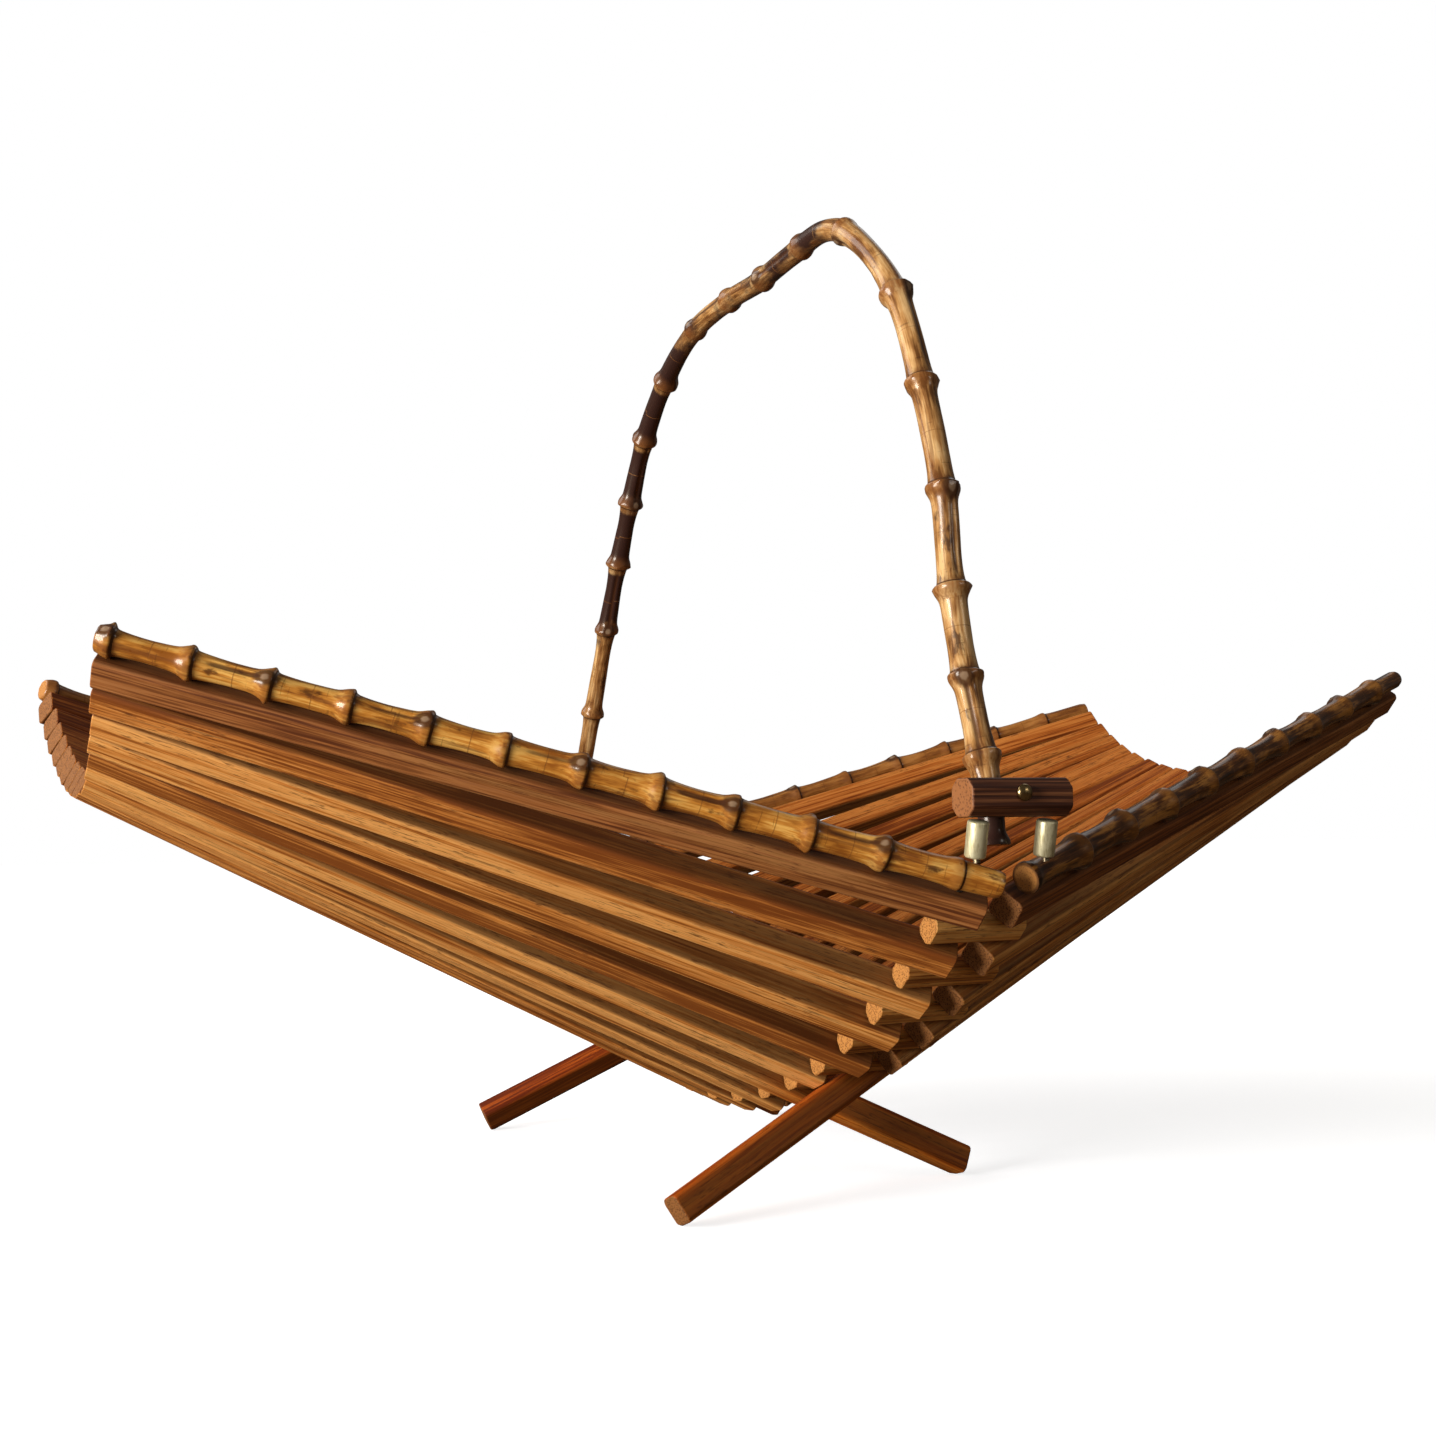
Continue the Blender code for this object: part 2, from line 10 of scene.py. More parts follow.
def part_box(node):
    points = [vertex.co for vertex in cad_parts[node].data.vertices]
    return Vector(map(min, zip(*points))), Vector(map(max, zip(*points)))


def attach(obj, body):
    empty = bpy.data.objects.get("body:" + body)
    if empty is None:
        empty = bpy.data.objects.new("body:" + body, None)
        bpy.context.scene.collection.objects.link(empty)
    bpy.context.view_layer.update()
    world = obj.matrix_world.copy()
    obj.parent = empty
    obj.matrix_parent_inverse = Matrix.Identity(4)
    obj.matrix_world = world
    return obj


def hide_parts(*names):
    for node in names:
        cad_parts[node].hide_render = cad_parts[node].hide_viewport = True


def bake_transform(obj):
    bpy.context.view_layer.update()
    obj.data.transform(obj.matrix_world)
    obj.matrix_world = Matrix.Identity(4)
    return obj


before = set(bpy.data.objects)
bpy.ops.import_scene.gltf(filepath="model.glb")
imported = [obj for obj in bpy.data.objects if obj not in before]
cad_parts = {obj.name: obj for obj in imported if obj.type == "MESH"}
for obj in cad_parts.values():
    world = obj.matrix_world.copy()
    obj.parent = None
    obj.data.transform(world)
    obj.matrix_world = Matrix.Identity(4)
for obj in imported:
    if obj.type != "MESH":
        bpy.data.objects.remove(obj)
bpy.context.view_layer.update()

MM = 0.001

# The basket's sizes, as in the part: how the slats are strung on the two bent wires.
LEVEL_COUNT = 19
GROUP_LEVELS = ((0, 1, 2), (3, 4, 5), (6, 7), (8, 9, 10), (11, 12), (13, 14, 15), (16, 17, 18))
LEVEL_PITCH = 0.02424
BOWL_RADIUS = 0.2616
WIRE_HEIGHT = 0.0310
WIRE_SPACING = 0.0275
WIRE_RADIUS = 0.0012
SLAT_REACH = 0.290
SLAT_OVERHANG = 0.0107
SLAT_WIDTH = 0.0114
SLAT_DEPTH = 0.0114
SLAT_CHAMFER = 0.0014
MIDDLE_SLAT_LENGTH = 0.038
MIDDLE_SLAT_WIDTH = 0.0109
MIDDLE_SLAT_DEPTH = 0.0088
MIDDLE_SLAT_CHAMFER = 0.0021
WING_RISE_MIDDLE = math.radians(26.9)
WING_RISE_RIM = math.radians(24.3)
LEG_LEVEL = {"left": 6, "right": 5}
FOOT_CUT = 0.0014
CLEARANCE = 0.0003

# Cane rails and handle.
RAIL_OVERHANG = {"left": 0.0125, "right": 0.0050}
RAIL_FIRST_NODE = {"left": 0.0020, "right": 0.0277}
RAIL_NODE_PITCH = {"left": 0.0257, "right": 0.0297}
RAIL_RADIUS = 0.0052
RAIL_NODE_RADIUS = 0.0063
RAIL_TAPER_SHARE = 0.80
RAIL_RELIEF = 0.0005
RAIL_END_ROOM = 0.0030
RAIL_GROWTH = {"left": 1, "right": -1}
RAIL_BUD_TURN = {"left": 0.4 + math.pi, "right": 4.2}
RAIL_BULGE_SHARE = {"left": 0.66, "right": 0.30}
RAIL_NUB_SHARE = {"left": 1.0, "right": 0.4}
RAIL_FLARES = {"left": (), "right": ((0.0, 0.0011),)}
BESIDE_TUBE_LENGTH = 0.008
BESIDE_TUBE_SHARE = 0.45
HANDLE_RISE = 0.2455
HANDLE_RADIUS = 0.0047
HANDLE_NODE_RADIUS = 0.0061
HANDLE_TAPER_SHARE = 0.88
HANDLE_FOOT_RADIUS = 0.0052
HANDLE_END_FLARE = 0.0021
HANDLE_WAIST_RELIEF = 0.0002
HANDLE_NODE_RELIEF = 0.0008
HANDLE_SEED = 11
HANDLE_BUD_TURN = 3.7 + math.pi
HANDLE_BUD_TWIST = 0.3
HANDLE_CROWN_CALM = (0.35, 0.60, 0.62)
HANDLE_PLAY = 0.0008
HANDLE_ARCH_SHARES = (
    (-1.00, 0.00), (-0.99, 0.08), (-0.925, 0.25), (-0.888, 0.38), (-0.866, 0.52),
    (-0.800, 0.69), (-0.715, 0.84), (-0.575, 0.955), (-0.45, 1.0), (-0.30, 0.995),
    (-0.15, 0.985), (0.0, 0.985), (0.19, 0.968), (0.36, 0.905), (0.500, 0.805),
    (0.595, 0.69), (0.69, 0.56), (0.78, 0.42), (0.885, 0.25), (0.985, 0.08), (1.00, 0.00),
)
HANDLE_NODE_SHARES = (
    0.045, 0.087, 0.133, 0.185, 0.246, 0.304, 0.378, 0.430, 0.480,
    0.527, 0.579, 0.635, 0.685, 0.734, 0.781, 0.833, 0.900,
)

HANDLE_SCORCH_SHARES = (
    (0.0, 0.85), (0.026, 0.8), (0.036, 0.0), (0.34, 0.0), (0.37, 0.3), (0.40, 0.55), (0.44, 0.5),
    (0.50, 0.5), (0.55, 0.4), (0.60, 0.7), (0.66, 1.0), (0.80, 0.95), (0.85, 0.35), (0.92, 0.1),
    (1.0, 0.1),
)

# Relief at each joint of a cane. Places are measured past the joint, along its growth.
SHOULDER_SHARE = 0.46
SHOULDER_LENGTH = 0.0045
STEP_ENDS = (-0.0012, 0.0008)
BULGE_FROM = 0.0015
BULGE_LENGTH = 0.0029
FLARE_LENGTH_SHARE = 0.30
RING_PLACE = -0.00035
RING_WIDTH = 0.0003
RING_DEPTH_SHARE = 0.16
BUD_PLACE = 0.0027
BUD_STRETCH = 1.6
BUD_RIDGES = ((0.0017, 0.0007, 0.0005), (0.0001, 0.00075, 0.0003))
GROOVE_WIDTH = 0.0010
GROOVE_DEPTH = 0.0008
LIP_PLACE = 0.0019
LIP_WIDTH = 0.0007
LIP_HEIGHT = 0.00018
NUB_RADIUS = 0.0009
WAVE_HEIGHT = 0.00012
WAVE_RATE = 170
FAR_OFF = 0.02
END_FLARE_LENGTH = 0.0032
END_ROUNDING = 0.0005
END_ROUNDING_SHARE = 0.9
CUT_RIM_SHARE = 0.97

# Handle feet, brass tubes and nails.
BLOCK_CHAMFER = 0.0032
BLOCK_CORNER = 0.0005
BLOCK_END_EDGE = 0.0006
BLOCK_END_SCALES = (0.91, 0.97)
TUBE_RADIUS = 0.0036
TUBE_LENGTH = 0.0124
TUBE_LEAN = math.radians(12)
TUBE_WALL = 0.0009
TUBE_EDGE = 0.0007
TUBE_HOLLOW = 0.0012
HOOK_STEPS = ((-0.0002, 0.0016), (0.0006, 0.0002), (0.0013, -0.0007), (0.0015, -0.0015))
NAIL_RADIUS = 0.0013
NAIL_HEAD_RADIUS = 0.0029
NAIL_HEAD_HEIGHT = 0.0018
NAIL_HEAD_EDGE = 0.0003
NAIL_DOME_STEPS = 6

# Edges of the bars and slats.
SLAT_CORNER = 0.00045
SLAT_SMOOTH_ANGLE = 12
CANE_SMOOTH_ANGLE = 60
TURNED_SMOOTH_ANGLE = 50
END_EDGE_SHARES = (0.0, 0.4, 1.0)

HALF_SPACING = WIRE_SPACING / 2
MIDDLE_LEVEL = (LEVEL_COUNT - 1) / 2
NO_LEG = -1.0
OUTWARD = {"near": -1, "far": 1}
SIDE_SIGN = {"left": -1, "right": 1}

# How far slats go to dark purple-brown and to red, as shares.
NEAR_RIM_DARKNESS = 0.72
SLAT_DARKNESSES = (0.0, 0.0, 0.03, 0.08)
MOST_RICHNESS = 0.25


# Places on the bent wires.

def slope_at(level):
    return (level - MIDDLE_LEVEL) * LEVEL_PITCH / BOWL_RADIUS


def level_frame(level, x=0.0):
    """Frame at a level: X along the basket, Y along the wire, Z into the bowl."""
    slope = slope_at(level)
    rise = BOWL_RADIUS * (1 - math.cos(slope))
    place = Vector((x, BOWL_RADIUS * math.sin(slope), WIRE_HEIGHT + rise))
    return Matrix.Translation(place) @ Matrix.Rotation(slope, 4, "X")


def wing_rise(level):
    rim_share = ((level - MIDDLE_LEVEL) / MIDDLE_LEVEL) ** 2
    return WING_RISE_MIDDLE + (WING_RISE_RIM - WING_RISE_MIDDLE) * rim_share


def wing_frame(level, side):
    """Frame of a wing slat: X outwards along the slat from the wire, Y along the wire."""
    sign = SIDE_SIGN[side]
    turn = -wing_rise(level) if sign > 0 else math.pi + wing_rise(level)
    return level_frame(level, sign * HALF_SPACING) @ Matrix.Rotation(turn, 4, "Y")


# Nodes, and shader nodes written as expressions.

def colour(red, green, blue):
    return (red, green, blue, 1.0)


def feed(tree, socket, value):
    """Links a socket or a Value to an input, or sets a constant."""
    source = getattr(value, "socket", value)
    if isinstance(source, bpy.types.NodeSocket):
        tree.links.new(source, socket)
    else:
        socket.default_value = source


def add_node(tree, kind, settings=None, inputs=None):
    made = tree.nodes.new(kind)
    for name, value in (settings or {}).items():
        setattr(made, name, value)
    for name, value in (inputs or {}).items():
        feed(tree, made.inputs[name], value)
    return made


class Value:
    """A socket that can be added, multiplied and so on, which adds the Math nodes."""

    def __init__(self, paint, socket):
        self.paint = paint
        self.socket = socket

    def maths(self, operation, *others):
        return self.paint.node("ShaderNodeMath", {"operation": operation}, dict(enumerate(others)))

    def __add__(self, other):
        return self.maths("ADD", self, other)

    __radd__ = __add__

    def __sub__(self, other):
        return self.maths("SUBTRACT", self, other)

    def __rsub__(self, other):
        return self.maths("SUBTRACT", other, self)

    def __mul__(self, other):
        return self.maths("MULTIPLY", self, other)

    __rmul__ = __mul__

    def size(self):
        return self.maths("ABSOLUTE", self)


class Paint:
    """One material's node tree."""

    def __init__(self, name):
        self.material = bpy.data.materials.new(name)
        self.material.use_nodes = True
        self.tree = self.material.node_tree
        self.shader = self.tree.nodes["Principled BSDF"]

    def node(self, kind, settings=None, inputs=None, output=0):
        return Value(self, add_node(self.tree, kind, settings, inputs).outputs[output])

    def set(self, **inputs):
        for name, value in inputs.items():
            feed(self.tree, self.shader.inputs[name.replace("_", " ")], value)

    def attribute(self, name, output="Fac"):
        return self.node("ShaderNodeAttribute", {"attribute_name": name}, output=output)

    def marks(self, kind, names):
        """The piece's own numbers, such as slat_length."""
        return [self.attribute(f"{kind}_{name}") for name in names.split()]

    def noise(self, place, scale, detail=2.0, roughness=0.55):
        stretched = self.node("ShaderNodeMapping", None, {"Vector": place, "Scale": scale})
        inputs = {"Vector": stretched, "Scale": 1.0, "Detail": detail, "Roughness": roughness}
        return self.node("ShaderNodeTexNoise", None, inputs)

    def dots(self, place, scale):
        return self.node("ShaderNodeTexVoronoi", {"feature": "F1"}, {"Vector": place, "Scale": scale})

    def object_place(self):
        return self.node("ShaderNodeTexCoord", output=3)

    def ramp(self, factor, *stops):
        made = self.node("ShaderNodeValToRGB", None, {"Fac": factor})
        elements = made.socket.node.color_ramp.elements
        while len(elements) < len(stops):
            elements.new(0.5)
        for element, (place, shade) in zip(elements, stops):
            element.position = place
            element.color = colour(*shade)
        return made

    def smooth(self, value, low, high):
        """0 below low, 1 above high and smooth between them; low may be above high."""
        ends = (0.0, 1.0) if low < high else (1.0, 0.0)
        inputs = {0: value, 1: min(low, high), 2: max(low, high), 3: ends[0], 4: ends[1]}
        return self.node("ShaderNodeMapRange", {"interpolation_type": "SMOOTHSTEP"}, inputs)

    def mix(self, factor, first, second, blend="MIX"):
        settings = {"data_type": "RGBA", "blend_type": blend}
        inputs = {0: factor, 6: first, 7: second}
        return self.node("ShaderNodeMix", settings, inputs, output=2)

    def layered(self, base, *layers):
        """Base with (share, colour) layers over it, from the lowest up."""
        for share, tint in layers:
            base = self.mix(share, base, colour(*tint))
        return base

    def tinted(self, base, tint):
        return self.mix(1.0, base, colour(*tint), "MULTIPLY")

    def parts(self, vector):
        made = self.node("ShaderNodeSeparateXYZ", None, {0: vector})
        return [Value(self, socket) for socket in made.socket.node.outputs]

    def vector(self, x, y, z):
        return self.node("ShaderNodeCombineXYZ", None, {0: x, 1: y, 2: z})

    def bump(self, height, distance, strength=1.0):
        inputs = {"Height": height, "Distance": distance, "Strength": strength}
        self.set(Normal=self.node("ShaderNodeBump", None, inputs))


# Finishes.

def slat_wood(name, shades, sawn_shades, width, side_dye_and_shade):
    """Bamboo slat: straight fibres, dark flecks, sides darkened by dye and painted shade, a redder inner
    face and pores on sawn ends.
    """
    dark, middle, light = shades
    sawn_dark, sawn_light = sawn_shades
    paint = Paint(name)
    length, seed, tone, rich, leg = paint.marks("slat", "length seed tone rich leg")
    share, across, deep = paint.parts(paint.attribute("grain", "Vector"))
    along = share * length
    place = paint.vector(along + seed * 9.0, across + seed * 3.0, deep + seed * 5.0)

    bands = paint.noise(place, (5.0, 230.0, 230.0))
    fibres = paint.noise(place, (20.0, 900.0, 900.0), 3.0, 0.65)
    flecks = paint.noise(place, (150.0, 1500.0, 1500.0), 2.0, 0.7)
    clouds = paint.noise(place, (14.0, 40.0, 40.0))
    level = bands * 0.6 + fibres * 0.9 + clouds * 0.4 + seed * 0.2 - 0.55
    wood = paint.ramp(level, (0.36, dark), (0.50, middle), (0.64, light))
    dark_fleck = paint.smooth(flecks, 0.54, 0.68) * paint.smooth(bands + clouds, 0.85, 1.15)
    dark_line = paint.smooth(fibres, 0.57, 0.68) * paint.smooth(clouds, 0.42, 0.60)
    wood = paint.layered(
        wood, (dark_fleck * 0.75, (0.060, 0.018, 0.007)), (dark_line * 0.7, (0.085, 0.027, 0.009)),
    )
    fibre_share = paint.smooth(fibres, 0.35, 0.65)
    brown = paint.mix(fibre_share, colour(0.060, 0.017, 0.008), colour(0.27, 0.088, 0.030))
    wood = paint.mix(tone, wood, brown)
    inner_face = paint.smooth(deep, 3.0 * MM, 5.0 * MM)
    wood = paint.mix(inner_face, wood, paint.tinted(wood, (0.74, 0.54, 0.38)))
    on_leg = paint.smooth(along - leg, 30 * MM, -10 * MM)
    wood = paint.mix(rich.maths("MAXIMUM", rich, on_leg), wood, paint.tinted(wood, (0.74, 0.47, 0.20)))
    # The side faces get dye and painted shade: the shade stands in for the shadow between neighbouring
    # slats.
    side = paint.smooth(across.size(), width / 2 - 1.1 * MM, width / 2 - 0.2 * MM)
    side = side * paint.smooth(deep, 5.8 * MM, 2.0 * MM)
    wood = paint.layered(wood, (side * (0.30 + 0.8 * bands) * side_dye_and_shade, (0.070, 0.020, 0.004)))

    pores = paint.dots(paint.vector(seed, across, deep), 1500.0)
    saw_lines = paint.noise(paint.vector(0.0, across + deep, 0.0), (1.0, 900.0, 1.0))
    end_grain = paint.ramp(pores * 0.6 + saw_lines * 0.5, (0.35, sawn_dark), (0.58, sawn_light))
    to_end = along.maths("MINIMUM", along, length - along)
    at_end = paint.smooth(to_end, 0.3 * MM, 0.1 * MM)
    paint.set(
        Base_Color=paint.mix(at_end, wood, end_grain),
        Roughness=0.48 + 0.25 * fibres,
        Specular_IOR_Level=0.13,
    )
    paint.bump(fibres * 0.7 + flecks * 0.3, 0.16 * MM, 0.7)
    return paint.material


def cane_skin(name, dark, middle, light, scorched, swollen, gloss, spots):
    """Root cane: glossy skin, ringed joints with painted shade before them, bud scars with a pale eye, and
    scorch marks; on the dark rail the swellings' colour is partly a painted glint.
    """
    paint = Paint(name)
    place = paint.attribute("cane_place", "Vector")
    past_node, to_bud, to_nub, groove, scorch, cut = paint.marks("cane", "node bud nub groove scorch cut")

    fibres = paint.noise(place, (40.0, 1300.0, 1300.0), 3.0, 0.6)
    streaks = paint.noise(place, (45.0, 330.0, 330.0), 3.0, 0.6)
    patches = paint.noise(place, (70.0, 110.0, 110.0), 3.0)
    level = streaks * 0.8 + patches * 0.5 + fibres * 0.4 - 0.35
    skin = paint.ramp(level, (0.36, dark), (0.5, middle), (0.64, light))

    edge = paint.noise(place, (140.0, 260.0, 260.0), 3.0)
    blots = paint.noise(place, (90.0, 210.0, 210.0), 4.0, 0.65)
    burnt = paint.smooth(blots, 0.62 - 0.06 * spots, 0.70)
    cracks = paint.smooth(paint.noise(place, (900.0, 120.0, 120.0)), 0.66, 0.70)
    stains = paint.smooth(paint.noise(place, (16.0, 420.0, 420.0), 3.0, 0.6), 0.51, 0.63)
    scorched_here = paint.smooth(scorch + (patches - 0.5) * 1.1, 0.35, 0.65)
    by_ring = paint.smooth((past_node + 1.0 * MM).size(), 1.0 * MM, 3.2 * MM)
    swelling = paint.smooth(past_node, -0.2 * MM, 0.6 * MM) * paint.smooth(past_node, 8.0 * MM, 1.5 * MM)
    ring = paint.smooth((past_node + 0.3 * MM).size(), 0.6 * MM, 0.25 * MM)
    # Painted shade, with a brown stain, in the crease on the low side just before each joint's ring.
    shade = paint.smooth(past_node, -3.5 * MM, -0.4 * MM) * paint.smooth(past_node, 0.2 * MM, -0.2 * MM)
    wobble = (edge - 0.5) * (1.2 * MM)
    bud_ring = paint.smooth(to_bud + wobble * 1.6, 3.2 * MM, 1.9 * MM)
    bud_eye = paint.smooth(to_bud + wobble, 1.2 * MM, 0.6 * MM)
    nub = paint.smooth(to_nub + wobble * 0.5, 0.9 * MM, 0.5 * MM)
    skin = paint.layered(
        skin,
        (burnt * spots, scorched),
        (cracks * 0.45 * spots, scorched),
        (stains * 0.75 * spots, (0.15, 0.045, 0.010)),
        (scorched_here * (0.25 + 0.75 * by_ring), scorched),
        # Swelling colour: the bulge's own tone; where it is lighter than the skin, as on the dark rail, it
        # is partly a painted golden glint.
        (swelling * (0.20 + 0.8 * edge), swollen),
        (ring * 0.9, (0.030, 0.010, 0.004)),
        (shade * 0.55 * (0.4 + edge), (0.10, 0.033, 0.010)),
        (bud_ring * 0.85, (0.045, 0.016, 0.007)),
        (bud_eye * 0.75, (0.30, 0.19, 0.11)),
        (nub * 0.7, (0.13, 0.040, 0.012)),
        (paint.smooth(groove, 0.20, 0.70) * 0.85, (0.060, 0.020, 0.008)),
    )

    pores = paint.dots(place, 1500.0)
    sawn = paint.ramp(pores, (0.10, (0.20, 0.070, 0.016)), (0.45, (0.42, 0.175, 0.042)))
    _, sideways, upwards = paint.parts(place)
    off_axis = sideways * sideways + upwards * upwards
    rind = paint.smooth(off_axis.maths("SQRT", off_axis), 4.0 * MM, 5.0 * MM)
    sawn = paint.layered(sawn, (rind * 0.85, (0.070, 0.022, 0.006)))
    sawn_here = paint.smooth(cut, 0.4, 0.7)
    skin = paint.mix(sawn_here, skin, sawn)
    paint.set(
        Base_Color=skin,
        Roughness=gloss + 0.25 * patches + 0.3 * sawn_here,
        Specular_IOR_Level=0.28,
        Specular_Tint=colour(1.0, 0.84, 0.64),
        Coat_Weight=0.24 * (1.0 - cut),
        Coat_Roughness=0.10,
    )
    paint.bump(fibres * 0.4 + blots * 0.3 + edge * 0.3, 0.18 * MM, 0.6)
    return paint.material


def block_wood():
    """Foot block: stained nearly black with fine tan and red streaks, and sawn dotted ends."""
    paint = Paint("block_wood")
    place = paint.object_place()
    along = paint.parts(place)[0]
    streaks = paint.noise(place, (14.0, 900.0, 900.0), 3.0, 0.65)
    bands = paint.noise(place, (8.0, 320.0, 320.0))
    wood = paint.ramp(
        streaks * 0.6 + bands * 0.4,
        (0.40, (0.020, 0.005, 0.002)), (0.50, (0.080, 0.021, 0.007)), (0.62, (0.26, 0.095, 0.034)),
    )
    dots = paint.dots(place, 1000.0)
    end_grain = paint.ramp(dots, (0.15, (0.11, 0.034, 0.010)), (0.5, (0.27, 0.100, 0.030)))
    at_end = paint.smooth(along.size(), 19.6 * MM, 19.9 * MM)
    paint.set(
        Base_Color=paint.mix(at_end, wood, end_grain),
        Roughness=0.42 + 0.25 * bands,
        Specular_IOR_Level=0.25,
    )
    paint.bump(streaks, 0.2 * MM, 0.6)
    return paint.material


def satin_brass(name, tint, tarnish, gloss, metallic):
    """Brass with faint drawing lines, small pits and uneven tarnish."""
    paint = Paint(name)
    place = paint.object_place()
    lines = paint.noise(place, (1800.0, 1800.0, 90.0))
    clouds = paint.noise(place, (180.0, 180.0, 180.0), 3.0)
    pits = paint.noise(place, (1500.0, 1500.0, 1500.0))
    uneven = paint.smooth(clouds * 0.5 + lines * 0.5, 0.40, 0.60)
    metal = paint.mix(uneven, colour(*tint), colour(*tarnish))
    paint.set(
        Base_Color=paint.layered(metal, (paint.smooth(pits, 0.66, 0.74) * 0.5, (0.16, 0.11, 0.05))),
        Metallic=metallic,
        Roughness=gloss + 0.25 * clouds,
    )
    paint.bump(lines * 0.6 + pits * 0.4, 0.03 * MM, 0.5)
    return paint.material


def wire_metal():
    paint = Paint("wire_metal")
    place = paint.object_place()
    clouds = paint.noise(place, (260.0, 260.0, 260.0), 3.0)
    metal = paint.ramp(clouds, (0.40, (0.10, 0.075, 0.045)), (0.62, (0.38, 0.30, 0.18)))
    paint.set(Base_Color=metal, Metallic=1.0, Roughness=0.30 + 0.3 * clouds)
    paint.bump(clouds, 0.05 * MM, 0.4)
    return paint.material


def floor_paint():
    """Floor that the camera sees as white with a soft shadow, and that the basket sees as dim."""
    paint = Paint("floor_paint")
    seen = paint.node("ShaderNodeLightPath")
    place = paint.object_place()
    clouds = paint.noise(place, (3.0, 3.0, 3.0))
    dim = paint.ramp(clouds, (0.3, (0.13, 0.09, 0.055)), (0.7, (0.16, 0.11, 0.07)))
    x, y, _ = paint.parts(place)
    spread = x * x + y * y
    far = paint.smooth(spread.maths("SQRT", spread), 0.30, 1.10)
    glow = paint.mix(far, colour(0.74, 0.74, 0.74), colour(1.0, 1.0, 1.0))
    paint.set(
        Base_Color=paint.mix(seen, dim, colour(0.80, 0.80, 0.80)),
        Emission_Color=paint.mix(seen, colour(0.0, 0.0, 0.0), glow),
        Emission_Strength=1.0,
        Roughness=0.9,
        Specular_IOR_Level=0.0,
    )
    return paint.material


# Making pieces.

def put(name, data):
    """New object in the scene, for a mesh, a light or a camera."""
    item = bpy.data.objects.new(name, data)
    bpy.context.scene.collection.objects.link(item)
    return item


def show(name, mesh, smooth_angle):
    """Puts a mesh in the scene, smooth over edges up to an angle in degrees."""
    mesh.shade_smooth()
    mesh.set_sharp_from_angle(angle=math.radians(smooth_angle))
    return put(name, mesh)


def new_piece(name, vertices, faces, finish, smooth_angle=45):
    mesh = bpy.data.meshes.new(name)
    mesh.from_pydata(vertices, [], faces)
    mesh.materials.append(finish)
    return show(name, mesh, smooth_angle)


def face_outwards(item, cut_by_floor=False):
    """Turns the faces outwards, once what is below the floor is cut off flat."""
    shape = bmesh.new()
    shape.from_mesh(item.data)
    if cut_by_floor:
        parts = shape.verts[:] + shape.edges[:] + shape.faces[:]
        floor = {"plane_co": (0, 0, 0), "plane_no": (0, 0, 1)}
        cut = bmesh.ops.bisect_plane(shape, geom=parts, clear_inner=True, **floor)
        rim = [edge for edge in cut["geom_cut"] if isinstance(edge, bmesh.types.BMEdge)]
        bmesh.ops.edgenet_fill(shape, edges=rim)
    bmesh.ops.recalc_face_normals(shape, faces=shape.faces)
    shape.to_mesh(item.data)
    shape.free()


def add_attribute(item, name, values):
    """Gives each point of a piece its own number or vector."""
    values = np.asarray(values, dtype=np.float32)
    kind, field = ("FLOAT_VECTOR", "vector") if values.ndim == 2 else ("FLOAT", "value")
    attribute = item.data.attributes.new(name, kind, "POINT")
    attribute.data.foreach_set(field, values.ravel())


def tube_faces(rows, around):
    """Faces of a closed tube of rings, with flat ends."""
    faces = []
    for row in range(rows - 1):
        for step in range(around):
            after = (step + 1) % around
            first, second = row * around, (row + 1) * around
            faces.append((first + step, first + after, second + after, second + step))
    faces.append(tuple(reversed(range(around))))
    faces.append(tuple(range((rows - 1) * around, rows * around)))
    return faces


# Slats.

def slat_outline(width, depth, chamfer, softness):
    """Section of a slat, with each corner of the chamfers slightly rounded."""
    half_w, half_d = width / 2, depth / 2
    inner_w, inner_d = half_w - chamfer, half_d - chamfer
    half_round = ((half_w, -inner_d), (half_w, inner_d), (inner_w, half_d), (-inner_w, half_d))
    corners = [Vector((sign * x, sign * y)) for sign in (1, -1) for x, y in half_round]
    outline = []
    for place, corner in enumerate(corners):
        before, after = corners[place - 1], corners[(place + 1) % len(corners)]
        outline.append(corner + (before - corner).normalized() * softness)
        outline.append(corner + (after - corner).normalized() * softness)
    return outline


def softened_rings(start, end, softness, scales, middle_shares):
    """(Place, scale) of the rings along a bar whose ends narrow over their softness."""
    edge = [(softness * share, scale) for share, scale in zip(END_EDGE_SHARES, (*scales, 1.0))]
    rings = [(start + step, scale) for step, scale in edge]
    rings += [(start + (end - start) * share, 1.0) for share in middle_shares]
    return rings + [(end - step, scale) for step, scale in reversed(edge)]


def slat_shape(name, width, depth, chamfer, length):
    """One slat a unit long, which the slat tree stretches to length."""
    outline = slat_outline(width, depth, chamfer, SLAT_CORNER)
    inset = 1 - 2 * SLAT_CORNER / depth
    scales = (inset, 1 - (1 - inset) * 0.3)
    rings = softened_rings(0.0, 1.0, SLAT_CORNER / length, scales, [share / 6 for share in range(1, 6)])
    vertices = [(share, place.x * size, place.y * size) for share, size in rings for place in outline]
    item = new_piece(name, vertices, tube_faces(len(rings), len(outline)), None, SLAT_SMOOTH_ANGLE)
    add_attribute(item, "grain", vertices)
    item.hide_render = True
    return item


